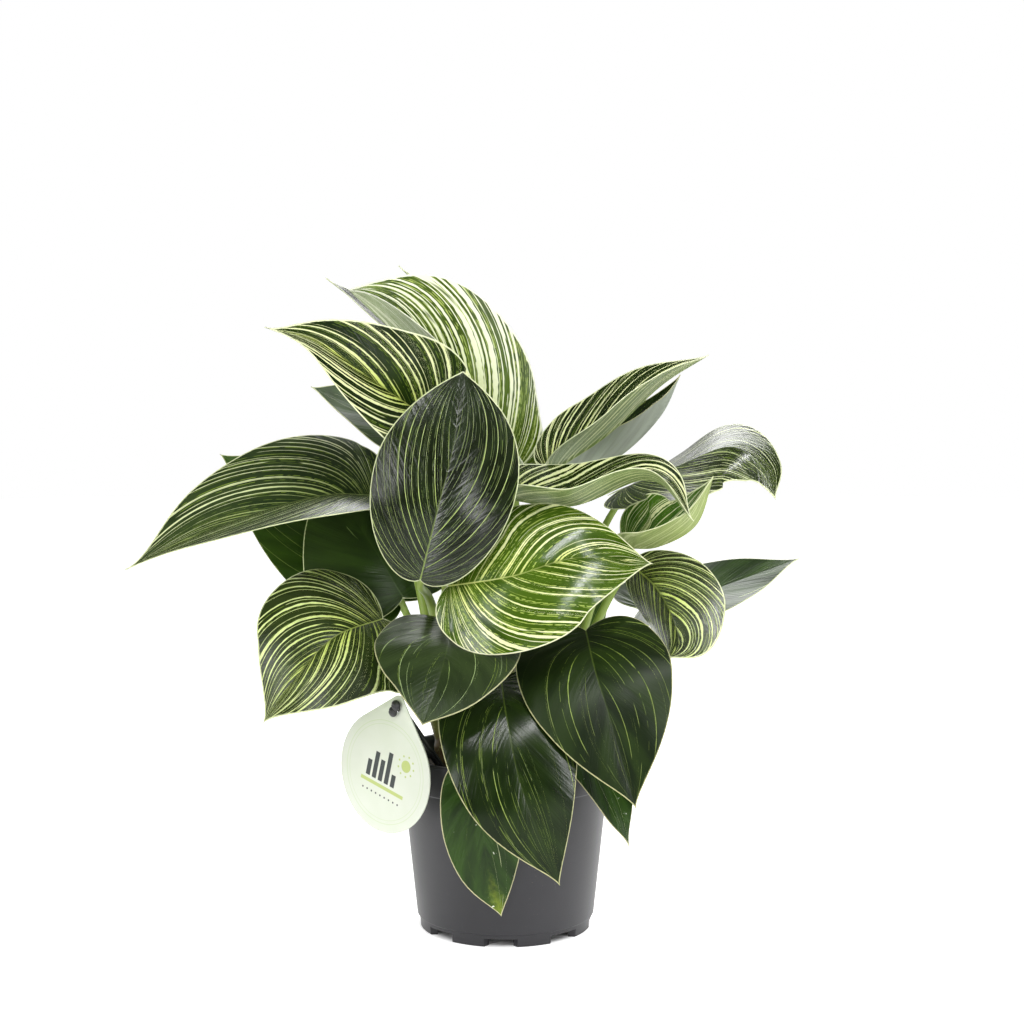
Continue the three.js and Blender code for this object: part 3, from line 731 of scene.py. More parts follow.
leafLooks = {
    "pale": {
        "deep": (0.026, 0.050, 0.003), "green": (0.070, 0.120, 0.008), "cream": (0.76, 0.79, 0.57),
        "gold": (0.52, 0.60, 0.22), "fleck": (0.38, 0.48, 0.11), "edging": (0.74, 0.77, 0.60),
        "broad": (15, 0.085, 0.85), "pins": (44, 0.11, 0.8), "hairs": (110, 0.22, 0.75), "sweep": 0.12,
        "margin": 1.1, "rib": 0.7, "under": (0.24, 0.32, 0.12), "underStripe": 0.75,
    },
    "streaked": {
        "deep": (0.006, 0.013, 0.002), "green": (0.014, 0.028, 0.003), "cream": (0.68, 0.72, 0.38),
        "gold": (0.50, 0.58, 0.13), "fleck": (0.12, 0.19, 0.02), "edging": (0.66, 0.70, 0.44),
        "broad": (17, 0.11, 0.85), "pins": (34, 0.06, 0.5), "hairs": (100, 0.16, 0.4), "sweep": 0.12,
        "margin": 0.85, "rib": 0.7, "rough": 0.20, "under": (0.17, 0.25, 0.07), "underStripe": 0.9,
    },
    "bright": {
        "deep": (0.020, 0.045, 0.002), "green": (0.048, 0.096, 0.005), "cream": (0.72, 0.75, 0.40),
        "gold": (0.56, 0.62, 0.18), "broad": (16, 0.06, 0.75), "pins": (32, 0.05, 0.65),
        "hairs": (100, 0.16, 0.5), "fleck": (0.34, 0.44, 0.08), "edging": (0.64, 0.66, 0.42),
        "tipPlain": 0.98, "sweep": 0.0, "margin": 0.65, "rib": 0.9, "rough": 0.13, "relief": 0.12,
        "under": (0.33, 0.44, 0.18),
    },
    "golden": {
        "cream": (0.58, 0.66, 0.27), "gold": (0.46, 0.56, 0.12), "broad": (18, 0.055, 0.85),
        "pins": (38, 0.05, 0.7), "breaks": 0.30, "sweep": 0.1, "margin": 0.75, "rib": 0.65,
        "under": (0.36, 0.46, 0.20),
    },
    "lined": {
        "cream": (0.58, 0.63, 0.34), "gold": (0.36, 0.45, 0.13), "broad": (16, 0.04, 0.6),
        "pins": (34, 0.045, 0.7), "hairs": (100, 0.15, 0.45), "sweep": 0.2, "margin": 0.85,
        # The underside's tone here is partly the blade's own paler green and partly painted light,
        # lightened to stand in for light shining through the blade.
        "rough": 0.20, "gloss": 0.6, "under": (0.40, 0.50, 0.20), "underStripe": 0.8,
    },
    "fine": {
        "deep": (0.005, 0.008, 0.002), "green": (0.010, 0.018, 0.004), "cream": (0.34, 0.42, 0.14),
        "gold": (0.30, 0.40, 0.10), "pins": (20, 0.024, 0.8), "hairs": (90, 0.12, 0.5), "hairTone": 0.5,
        "fleck": (0.13, 0.18, 0.05), "edging": (0.50, 0.54, 0.30), "breaks": 0.28, "tipPlain": 0.94,
        "margin": 0.55, "rib": 0.55, "rough": 0.16, "gloss": 0.4,
    },
    "few": {
        "deep": (0.005, 0.011, 0.002), "green": (0.012, 0.025, 0.003), "cream": (0.27, 0.36, 0.08),
        "gold": (0.18, 0.26, 0.04), "pins": (9, 0.014, 0.7), "hairs": (60, 0.06, 0.15),
        "edging": (0.40, 0.40, 0.20), "relief": 0.6, "breaks": 0.34, "lineStart": 0.2, "tipPlain": 0.96,
        "margin": 0.5, "rib": 0.35, "rough": 0.20, "gloss": 0.24, "under": (0.34, 0.39, 0.30),
    },
    "faint": {
        "deep": (0.015, 0.026, 0.007), "green": (0.025, 0.042, 0.011), "cream": (0.24, 0.32, 0.13),
        "gold": (0.16, 0.24, 0.06), "pins": (11, 0.018, 0.6), "hairs": (60, 0.06, 0.15),
        "edging": (0.38, 0.38, 0.20), "lineStart": 0.2, "margin": 0.5, "rib": 0.3, "rough": 0.30,
    },
    "plain": {
        "deep": (0.016, 0.034, 0.007), "green": (0.032, 0.066, 0.011), "cream": (0.42, 0.50, 0.24),
        "gold": (0.12, 0.20, 0.05), "pins": (12, 0.025, 0.2), "hairs": (60, 0.05, 0.05), "hairTone": 0.3,
        "breaks": 0.5, "lineStart": 0.3, "margin": 0.42, "rib": 0.25, "gloss": 0.4, "rough": 0.3,
        "under": (0.07, 0.105, 0.065),
    },
    "mid": {
        "deep": (0.028, 0.066, 0.006), "green": (0.052, 0.112, 0.011), "cream": (0.28, 0.38, 0.10),
        "gold": (0.13, 0.24, 0.05), "pins": (14, 0.025, 0.6), "hairs": (60, 0.05, 0.1),
        "edging": (0.40, 0.44, 0.20), "breaks": 0.4, "margin": 0.42, "rib": 0.3, "rough": 0.32,
        "under": (0.24, 0.35, 0.15),
    },
    "spotted": {
        "deep": (0.011, 0.026, 0.004), "green": (0.026, 0.060, 0.008), "cream": (0.50, 0.54, 0.30),
        "gold": (0.12, 0.20, 0.05), "pins": (12, 0.025, 0.15), "hairs": (60, 0.05, 0.05),
        "hairTone": 0.3, "breaks": 0.5, "lineStart": 0.3, "margin": 0.42, "rib": 0.2,
        "edging": (0.48, 0.46, 0.26), "specks": 0.9, "gloss": 0.18,
    },
    "young": {
        "deep": (0.030, 0.085, 0.007), "green": (0.060, 0.145, 0.012), "cream": (0.66, 0.70, 0.38),
        "gold": (0.46, 0.54, 0.15), "broad": (15, 0.12, 0.5), "margin": 0.8, "rib": 0.6,
        "under": (0.30, 0.38, 0.12), "underStripe": 0.6,
    },
}
leafLooks["tipped"] = {**leafLooks["spotted"], "tipTone": 0.75}
leafLooks["muted"] = {
    **leafLooks["lined"], "deep": (0.016, 0.028, 0.009), "green": (0.030, 0.048, 0.014), "gloss": 0.12,
}
leafLooks["sharp"] = {**leafLooks["streaked"], "gloss": 0.1}
leafLooks["draped"] = {**leafLooks["golden"], "broad": (15, 0.075, 0.9), "gloss": 0.5}
leafLooks["calm"] = {**leafLooks["few"], "rough": 0.36, "gloss": 0.16}
leafLooks = {name: {**usualLook, **look} for name, look in leafLooks.items()}

lineForm = {
    "marginSweep": 0.12,  # lines lean towards the tip, most of all at the margin
    "sideShift": 5.3,  # steps in the noise from one half of a blade to the other, and from leaf to leaf
    "leafShift": 2.7,
    "wander": 0.022,  # slow and quick bends of a line, as shares of the blade's length
    "tremor": 0.003,
    "slide": 0.5,  # how far a line may stray from the middle of its lane, as a share of the lane
    "softness": 0.0012,
    "breakEdge": 0.03,  # how softly a line ends at a break
    "broadBreaks": 0.2,
    "hairBreaks": 0.45,
    "hairStart": (0.06, 0.2),
    "tipFade": 0.04,
}

leafFinish = {
    "cloud": (0.3, 0.7),
    "underDull": 0.78,  # the darker share of the underside's tone
    "underRough": 0.22,  # added to a look's roughness below
    "underGloss": 0.4,  # times a look's gloss below
    "tipGold": (0.26, 0.34, 0.03),
    "tipZone": (0.88, 1.04),  # shares of the length
    "speck": (0.72, 0.76, 0.62),
    "speckScale": 380,
    "speckZone": (0.73, 0.76),
    "raggedScale": 420,
    "grainScale": 1400,
    "cloudRough": 0.12,
    "bumpDepth": 0.0005,
    "bumpStrength": 0.6,
}


def stripePattern(skin, look, u, v, seed):
    form = lineForm
    reach = abs(v)
    half = (v > 0) * form["sideShift"] + seed * form["leafShift"]
    swept = u * (1 - reach * (look["sweep"] + reach * reach * form["marginSweep"]))

    def drawn(place, scale, stretch, offset, detail=0.0):
        return skin.noise(skin.pack(place * scale, reach * stretch, half + offset), detail=detail)

    lane = swept + (drawn(swept, 8, 2.0, 1.7) - 0.5) * form["wander"]
    lane = lane + (drawn(swept, 60, 9, 2.2, 1.0) - 0.5) * form["tremor"]

    def lines(kind, offset, breaks, breakLength):
        lanes, width, share = look[kind]
        place = lane * lanes
        index = place.joined("FLOOR")
        chance = skin.add("ShaderNodeTexWhiteNoise", None, {"Vector": skin.pack(index, half, offset)})
        slide, girth, presence = skin.split(chance["Color"])
        apart = abs(place - index - 0.5 - (slide - 0.5) * form["slide"])
        swell = drawn(lane, lanes * 0.7, 4.0, offset)
        swell = swell + drawn(lane, lanes * 2, 26, offset + 0.2) * 0.9 + 0.05
        thick = (girth * girth * 1.5 + 0.5) * swell * width
        soft = lanes * form["softness"]
        line = skin.step(apart, thick + soft, thick - soft)
        edge = form["breakEdge"]
        kept = skin.step(drawn(lane, lanes * 1.3, breakLength, offset + 0.7), breaks - edge, breaks + edge)
        begun = skin.step(reach - slide * look["lineStart"], -0.05, 0.1)
        return line * kept * begun * (presence < share)

    broad = lines("broad", 0.5, form["broadBreaks"], 2.5)
    pins = lines("pins", 3.5, look["breaks"], 4.5)
    hairs = lines("hairs", 6.5, form["hairBreaks"], 24)
    hairs = hairs * skin.step(u, *form["hairStart"]) * look["hairTone"]
    tip = skin.step(u, look["tipPlain"] + form["tipFade"], look["tipPlain"] - form["tipFade"])
    return broad.joined("MAXIMUM", pins) * tip, hairs * tip


def leafSkin(name, look, underside):
    skin = Skin(name)
    form = leafFinish
    u, v, seed = skin.split(skin.attribute("vein")["Vector"])
    edge, fromRib, _ = skin.split(skin.attribute("gap")["Vector"])
    reach = abs(v)
    stripes, flecks = stripePattern(skin, look, u, v, seed)
    ragged = skin.noise(skin.place(), scale=form["raggedScale"]) - 0.5
    cloud = skin.noise(skin.pack(u * 14, reach * 1.2, seed * 3.1))
    creamColour = skin.blend(skin.step(reach + ragged * 0.3, 0.0, 0.7), look["gold"], look["cream"])
    rib = skin.step(fromRib + ragged * 0.3, 0.62, 0.25) * skin.step(u, 1.0, 0.3) * look["rib"]
    margin = skin.step(edge + ragged * look["margin"] * 0.5, look["margin"], look["margin"] * 0.55)
    clouded = skin.step(cloud, *form["cloud"])
    if underside:
        dull = [form["underDull"] * shade for shade in look["under"]]
        tissue = skin.blend(clouded, look["under"], dull)
        colour = skin.blend((stripes * 0.8 + flecks * 0.6) * look["underStripe"], tissue, look["cream"])
        colour = skin.blend(rib, colour, look["gold"])
        colour = skin.blend(margin * 0.8, colour, look["edging"])
    else:
        tissue = skin.blend(clouded, look["deep"], look["green"])
        if look["tipTone"]:
            ripened = skin.step(u + ragged * 0.1, *form["tipZone"]) * look["tipTone"]
            tissue = skin.blend(ripened, tissue, form["tipGold"])
        colour = skin.blend(stripes, skin.blend(flecks, tissue, look["fleck"]), creamColour)
        colour = skin.blend(rib, colour, look["gold"])
        colour = skin.blend(margin, colour, look["edging"])
        if look["specks"]:
            dots = skin.noise(skin.place(), scale=form["speckScale"])
            specks = skin.step(dots, *form["speckZone"]) * look["specks"]
            colour = skin.blend(specks, colour, form["speck"])
    ridges = skin.noise(skin.pack(u * 90, reach * 1.2, seed))
    ridges = ridges * skin.step(u, 0.04, 0.2) * look["relief"]
    grain = skin.noise(skin.place(), scale=form["grainScale"], detail=1.0)
    height = ridges * 0.8 + (stripes + flecks) * 0.12 + grain * 0.1
    rough = look["rough"] + (form["underRough"] if underside else 0)
    return skin.finish({
        "Base Color": colour,
        "Roughness": rough + (cloud - 0.5) * form["cloudRough"],
        "Normal": skin.bump(height, form["bumpDepth"], form["bumpStrength"]),
        "Specular IOR Level": look["gloss"] * (form["underGloss"] if underside else 1),
    })


def makeLeaves():
    skins = {
        name: [leafSkin(f"{name}Upper", look, False), leafSkin(f"{name}Under", look, True)]
        for name, look in leafLooks.items()
    }
    for seed, leaf in enumerate(leaves, 1):
        piece = makeLeaf(leaf, seed, skins[leaf["look"]])
        standsFor(piece, leaf["name"])


makeLeaves()
print("leaves grown")


# Stems and stalks: polylines that one tree of geometry nodes turns into tapered tubes

crownForm = {
    "left": {"foot": (-34, -8), "depth": 58, "top": 126, "footRadius": 7, "topRadius": 4},
    "middle": {"foot": (3, 8), "depth": 58, "top": 138, "footRadius": 8, "topRadius": 4.5},
    "right": {"foot": (32, 0), "depth": 58, "top": 129, "footRadius": 7, "topRadius": 4},
}

stalkForm = {
    "baseRadius": 3.4,
    "waistRadius": 2.4,
    "endRadius": 1.7,
    "outwardShare": 0.3,
    "alongShare": 0.24,
    "dipShare": 0.1,
    "underMidrib": 4.0,
    "gap": 2.1,
    "points": 30,
    "sides": 16,
    "stemPoints": 60,
    "scarHeight": 0.35,
    "scarTurn": 0.42,  # radians of the scars' wave for each millimetre of stem
    "scarSharpness": 6,
    "tones": [  # from the root of a stalk to its blade
        (0.0, (0.10, 0.055, 0.020)),
        (0.12, (0.17, 0.17, 0.035)),
        (0.35, (0.24, 0.33, 0.06)),
        (0.8, (0.33, 0.45, 0.10)),
        (1.0, (0.42, 0.52, 0.16)),
    ],
    "reddishTone": (0.13, 0.035, 0.015),
    "mottleTone": (0.50, 0.58, 0.24),
    "rough": 0.36,
}


def stalkLine(leaf):
    crown = crownForm[leaf["crown"]]
    root = np.array([*crown["foot"], leaf["root"]], float)
    start = frameAt(midribFrames(leaf), np.array(0.0))
    end = start["place"] + start["along"] * stalkForm["underMidrib"] - start["up"] * stalkForm["gap"]
    reach = np.linalg.norm(end - root)
    leaving = root + (end - root) * stalkForm["outwardShare"] + np.array([0, 0, leaf["rise"] * reach])
    arriving = end - start["along"] * stalkForm["alongShare"] * reach
    arriving = arriving - start["up"] * stalkForm["dipShare"] * reach
    t = np.linspace(0, 1, stalkForm["points"])[:, None]
    line = (1 - t) ** 3 * root + 3 * (1 - t) ** 2 * t * leaving + 3 * (1 - t) * t**2 * arriving + t**3 * end
    t = t[:, 0]
    girth = stalkForm["waistRadius"] + (stalkForm["baseRadius"] - stalkForm["waistRadius"]) * (1 - t) ** 3
    girth = girth + (stalkForm["endRadius"] - stalkForm["waistRadius"]) * t**2
    return line, girth, t


def stemLine(crown):
    t = np.linspace(0, 1, stalkForm["stemPoints"])
    x, y = crown["foot"]
    height = crown["depth"] + (crown["top"] - crown["depth"]) * t
    line = np.stack([np.full_like(t, x), np.full_like(t, y), height], 1)
    girth = crown["footRadius"] + (crown["topRadius"] - crown["footRadius"]) * t
    scars = np.abs(np.sin(height * stalkForm["scarTurn"])) ** stalkForm["scarSharpness"]
    return line, girth + stalkForm["scarHeight"] * scars, np.zeros_like(t)


def stalkTree(material):
    tree = bpy.data.node_groups.new("stalkTubes", "GeometryNodeTree")
    tree.interface.new_socket(name="Geometry", in_out="INPUT", socket_type="NodeSocketGeometry")
    tree.interface.new_socket(name="Sides", in_out="INPUT", socket_type="NodeSocketInt")
    tree.interface.new_socket(name="Geometry", in_out="OUTPUT", socket_type="NodeSocketGeometry")
    given = addNode(tree, "NodeGroupInput")
    line = addNode(tree, "GeometryNodeMeshToCurve", None, {"Mesh": given["Geometry"]})["Curve"]
    girth = addNode(tree, "GeometryNodeInputNamedAttribute", {"data_type": "FLOAT"}, {"Name": "girth"})
    inputs = {"Curve": line, "Radius": girth["Attribute"]}
    line = addNode(tree, "GeometryNodeSetCurveRadius", None, inputs)["Curve"]
    inputs = {"Resolution": given["Sides"], "Radius": 1.0}
    ring = addNode(tree, "GeometryNodeCurvePrimitiveCircle", None, inputs)
    around = addNode(tree, "GeometryNodeSplineParameter")["Factor"]
    ring = addNode(tree, "GeometryNodeStoreNamedAttribute", {"data_type": "FLOAT", "domain": "POINT"}, {
        "Geometry": ring["Curve"], "Name": "around", "Value": around,
    })["Geometry"]
    inputs = {"Curve": line, "Profile Curve": ring, "Fill Caps": True}
    tube = addNode(tree, "GeometryNodeCurveToMesh", None, inputs)
    if "Scale" in tube.node.inputs:
        radius = addNode(tree, "GeometryNodeInputRadius")["Radius"]
        tree.links.new(radius.socket, tube.node.inputs["Scale"])
    whole = addNode(tree, "GeometryNodeRealizeInstances", None, {"Geometry": tube["Mesh"]})["Geometry"]
    inputs = {"Geometry": whole, "Material": material}
    whole = addNode(tree, "GeometryNodeSetMaterial", None, inputs)["Geometry"]
    addNode(tree, "NodeGroupOutput", None, {"Geometry": whole})
    return tree


def stalkSkin():
    skin = Skin("stalkGreen")
    reach = skin.attribute("reach")["Fac"]
    around = skin.attribute("around")["Fac"]
    turn = around * (2 * math.pi)
    ring = skin.pack(turn.joined("COSINE"), turn.joined("SINE"), reach * 1.5)
    streaks = skin.noise(ring, scale=3.0, detail=4.0)
    colour = skin.ramp(reach + (streaks - 0.5) * 0.25, stalkForm["tones"])
    reddish = skin.step(streaks, 0.60, 0.72) * skin.step(reach, 0.45, 0.1)
    colour = skin.blend(reddish * 0.8, colour, stalkForm["reddishTone"])
    mottle = skin.noise(skin.place(), scale=500)
    colour = skin.blend(skin.step(mottle, 0.55, 0.75) * 0.25, colour, stalkForm["mottleTone"])
    return skin.finish({
        "Base Color": colour,
        "Roughness": stalkForm["rough"] + mottle * 0.15,
        "Normal": skin.bump(streaks + mottle * 0.2, 0.0004, 0.5),
    })


def makeCrown(name, tree):
    lines = [stemLine(crownForm[name])]
    lines += [stalkLine(leaf) for leaf in leaves if leaf["crown"] == name]
    points = np.concatenate([line for line, _, _ in lines])
    edges = []
    start = 0
    for line, _, _ in lines:
        edges += [(start + i, start + i + 1) for i in range(len(line) - 1)]
        start += len(line)
    mesh = bpy.data.meshes.new(f"crown_{name}_fine")
    mesh.from_pydata([tuple(point) for point in points * mm], edges, [])
    piece = bpy.data.objects.new(f"crown_{name}_fine", mesh)
    scene.collection.objects.link(piece)
    setAttribute(piece, "girth", np.concatenate([girth for _, girth, _ in lines]) * mm)
    setAttribute(piece, "reach", np.concatenate([reach for _, _, reach in lines]))
    modifier = piece.modifiers.new("stalkTubes", "NODES")
    modifier.node_group = tree
    sides = next(item.identifier for item in tree.interface.items_tree if item.name == "Sides")
    modifier[sides] = stalkForm["sides"]
    settle(piece)
    piece.data.polygons.foreach_set("use_smooth", [True] * len(piece.data.polygons))
    standsFor(piece, f"crown_{name}")


stalkTubes = stalkTree(stalkSkin())
for crownName in crownForm:
    makeCrown(crownName, stalkTubes)
print("stalks risen")


# Pot: one turned wall with a rim band and a stepped foot, notched and drained through the floor

potForm = {
    "height": 98, "rimRadius": 60.5, "rimBand": 18, "rimStep": 0.8, "wallTopRadius": 58.8,
    "wallFootRadius": 49.2, "footBand": 7, "footRadius": 48, "wall": 1.5, "floorLift": 4.4,
    "floorThickness": 1.8, "padRadius": 19, "ringWidth": 4, "bevel": 0.5, "lipDepth": 2.5,
    "notches": 8, "notchWidth": 14, "notchFlare": 0.8, "notchOverrun": 2, "notchBeyond": 4,
    "notchTurn": -3, "drainWidth": 9, "drainLength": 7, "drainRadius": 37, "drainBelow": 3,
    "drainAbove": 5, "rounding": 0.4, "cornerSteps": 3, "facets": 200, "sharpFrom": 38,
    "tone": (0.017, 0.0165, 0.019), "paleTone": (0.023, 0.0225, 0.026), "scuffTone": (0.06, 0.06, 0.064),
    "dustTone": (0.16, 0.13, 0.10), "rough": 0.42, "gloss": 0.38,
}


def rounded(outline, radius, steps):  # an outline's corners, each made a short arc
    points = [np.array(outline[0], float)]
    for before, corner, after in zip(outline, outline[1:], outline[2:]):
        before, corner, after = (np.array(point, float) for point in (before, corner, after))
        back, ahead = before - corner, after - corner
        reach = min(radius, 0.4 * np.linalg.norm(back), 0.4 * np.linalg.norm(ahead))
        start, end = corner + unit(back) * reach, corner + unit(ahead) * reach
        for t in np.linspace(0, 1, steps + 1):
            points.append((1 - t) ** 2 * start + 2 * t * (1 - t) * corner + t**2 * end)
    points.append(np.array(outline[-1], float))
    return points


def turnedForm(outline, facets):  # the outline starts and ends on the axis
    ends = [(0, 0, outline[0][1]), (0, 0, outline[-1][1])]
    angles = 2 * np.pi * np.arange(facets) / facets
    points = list(ends)
    rings = []
    for radius, height in outline[1:-1]:
        rings.append(range(len(points), len(points) + facets))
        points += [(radius * math.cos(a), radius * math.sin(a), height) for a in angles]
    faces = []
    for i in range(facets):
        j = (i + 1) % facets
        faces.append((0, rings[0][i], rings[0][j]))
        faces.append((1, rings[-1][j], rings[-1][i]))
        faces += [(low[i], high[i], high[j], low[j]) for low, high in zip(rings, rings[1:])]
    return points, faces


def potInner(height):
    form = potForm
    share = (height - form["footBand"]) / (form["height"] - form["footBand"])
    widening = form["wallTopRadius"] - form["wallFootRadius"]
    return form["wallFootRadius"] + widening * share - form["wall"]


def potOutline():
    form = potForm
    bandFoot = form["height"] - form["rimBand"]
    ringInner = form["footRadius"] - form["ringWidth"]
    floorTop = form["floorLift"] + form["floorThickness"]
    bandRadius = potInner(bandFoot) + form["wall"]
    boss = form["padRadius"] - form["floorThickness"]
    lipFoot = form["height"] - form["lipDepth"]
    return [
        (0, 0),
        (form["padRadius"], 0),
        (form["padRadius"], form["floorLift"]),
        (ringInner, form["floorLift"]),
        (ringInner, 0),
        (form["footRadius"] - form["bevel"], 0),
        (form["footRadius"], form["footBand"] - form["bevel"]),
        (form["wallFootRadius"], form["footBand"]),
        (bandRadius, bandFoot),
        (bandRadius + form["rimStep"], bandFoot + form["bevel"]),
        (form["rimRadius"], form["height"] - 2 * form["bevel"]),
        (form["rimRadius"] - form["bevel"], form["height"]),
        (form["rimRadius"] - form["wall"] - 2 * form["bevel"], form["height"]),
        (potInner(lipFoot), lipFoot),
        (potInner(floorTop), floorTop),
        (boss, floorTop),
        (boss, form["floorThickness"]),
        (0, form["floorThickness"]),
    ]


def wedge(near, far, nearHalf, farHalf, low, high, turn):  # a block that widens outwards, for cutting
    corners = [(near, -nearHalf), (far, -farHalf), (far, farHalf), (near, nearHalf)]
    cosine, sine = math.cos(turn), math.sin(turn)
    turnedCorners = [(x * cosine - y * sine, x * sine + y * cosine) for x, y in corners]
    points = [(x, y, z) for z in (low, high) for x, y in turnedCorners]
    faces = [(3, 2, 1, 0), (4, 5, 6, 7), (0, 1, 5, 4), (1, 2, 6, 5), (2, 3, 7, 6), (3, 0, 4, 7)]
    return points, faces


def potCutters():
    form = potForm
    ringInner = form["footRadius"] - form["ringWidth"]
    points, faces = [], []
    for i in range(form["notches"]):
        turn = math.radians(form["notchTurn"] - 90 + 360 / form["notches"] * i)
        near = ringInner - form["notchOverrun"]
        far = form["footRadius"] + form["notchBeyond"]
        nearHalf = form["notchWidth"] / 2 - form["notchOverrun"] * form["notchFlare"]
        farHalf = form["notchWidth"] / 2 + (form["ringWidth"] + form["notchBeyond"]) * form["notchFlare"]
        notch = wedge(near, far, nearHalf, farHalf, -form["notchBeyond"], form["floorLift"], turn)
        start = form["drainRadius"] - form["drainLength"] / 2
        end = form["drainRadius"] + form["drainLength"] / 2
        width = form["drainWidth"] / 2
        bottom = form["floorLift"] - form["drainBelow"]
        drain = wedge(start, end, width, width, bottom, form["floorLift"] + form["drainAbove"], turn)
        for corners, sides in (notch, drain):
            faces += [tuple(k + len(points) for k in side) for side in sides]
            points += corners
    return points, faces


def cutFrom(piece, points, faces):
    cutter = makePiece("cutter", points, faces, [])
    modifier = piece.modifiers.new("cut", "BOOLEAN")
    modifier.operation = "DIFFERENCE"
    modifier.solver = "EXACT"
    modifier.object = cutter
    settle(piece)
    bpy.data.objects.remove(cutter)


def potSkin():
    skin = Skin("potPlastic")
    place = skin.place()
    x, y, z = skin.split(place)
    cloud = skin.noise(place, scale=22, detail=3.0)
    flow = skin.noise(skin.pack(x * 90, y * 90, z * 900))  # faint rings round the wall
    scuffs = skin.noise(skin.pack(x * 420, y * 420, z * 60))
    scuffs = skin.step(scuffs, 0.68, 0.78)
    dust = skin.step(skin.noise(place, scale=900, detail=1.0), 0.74, 0.82) * skin.step(cloud, 0.45, 0.7)
    colour = skin.blend(skin.step(cloud, 0.3, 0.75), potForm["tone"], potForm["paleTone"])
    colour = skin.blend(scuffs * 0.2, colour, potForm["scuffTone"])
    colour = skin.blend(dust * 0.5, colour, potForm["dustTone"])
    grain = skin.noise(place, scale=2600, detail=1.0)
    return skin.finish({
        "Base Color": colour,
        "Roughness": potForm["rough"] + (cloud - 0.5) * 0.12 + scuffs * 0.08 + dust * 0.3,
        "Normal": skin.bump(flow * 0.6 + grain * 0.3, 0.0003, 0.25),
        "Specular IOR Level": potForm["gloss"],
    })


def makePot():
    outline = rounded(potOutline(), potForm["rounding"], potForm["cornerSteps"])
    points, faces = turnedForm(outline, potForm["facets"])
    piece = makePiece("pot_fine", points, faces, [potSkin()])
    cleaned(piece)
    cutFrom(piece, *potCutters())
    piece.data.set_sharp_from_angle(angle=math.radians(potForm["sharpFrom"]))
    standsFor(piece, "pot")


makePot()
print("pot moulded")


# Soil: a mound with crumbs strewn over it by geometry nodes

soilForm = {
    "edge": 85.5, "middle": 90.0, "clearance": 0.3, "moundPower": 3, "moundRings": 34, "facets": 120,
    "lumps": 1.6, "lumpSize": 9.0, "lumpRoughness": 0.7, "lumpGrowth": 2.1, "lumpLayers": 4,
    "lumpSink": 0.15, "lumpMargin": 1, "lumpFade": 6,
    "crumbs": 30000.0, "crumbSize": 0.0017, "seed": 7, "crumbMargin": 2, "crumbFade": 3, "crumbDrop": 2,
    "smallestCrumb": (0.25, 0.25, 0.25), "largestCrumb": (1.3, 1.0, 0.8),
    "dentScale": 700.0, "dentDepth": (0.0028, 0.0022, 0.0016),
    "tones": [
        (0.30, (0.006, 0.0045, 0.0035)),
        (0.50, (0.020, 0.014, 0.010)),
        (0.64, (0.055, 0.037, 0.024)),
        (0.74, (0.14, 0.10, 0.065)),
    ],
}


def soilOutline():
    gap = soilForm["clearance"]
    floorTop = potForm["floorLift"] + potForm["floorThickness"] + gap
    boss = potForm["padRadius"] - potForm["floorThickness"] - gap
    edge = potInner(soilForm["edge"]) - gap
    shares = np.linspace(1, 0, soilForm["moundRings"])
    drop = soilForm["edge"] - soilForm["middle"]
    heights = soilForm["middle"] + drop * shares ** soilForm["moundPower"]
    mound = list(zip(edge * shares, heights))
    bottom = potForm["floorThickness"] + gap
    return [(0, bottom), (boss, bottom), (boss, floorTop), (potInner(floorTop) - gap, floorTop), *mound]


def soilSkin():
    skin = Skin("peat")
    place = skin.place()
    coarse = skin.noise(place, scale=260, detail=4.0, roughness=0.65)
    fine = skin.noise(place, scale=1500, detail=3.0, roughness=0.7)
    return skin.finish({
        "Base Color": skin.ramp(coarse * 0.6 + fine * 0.4, soilForm["tones"]),
        "Roughness": 0.82 + fine * 0.15,
        "Normal": skin.bump(coarse + fine * 0.7, 0.0012, 0.9),
        "Specular IOR Level": 0.3,
    })


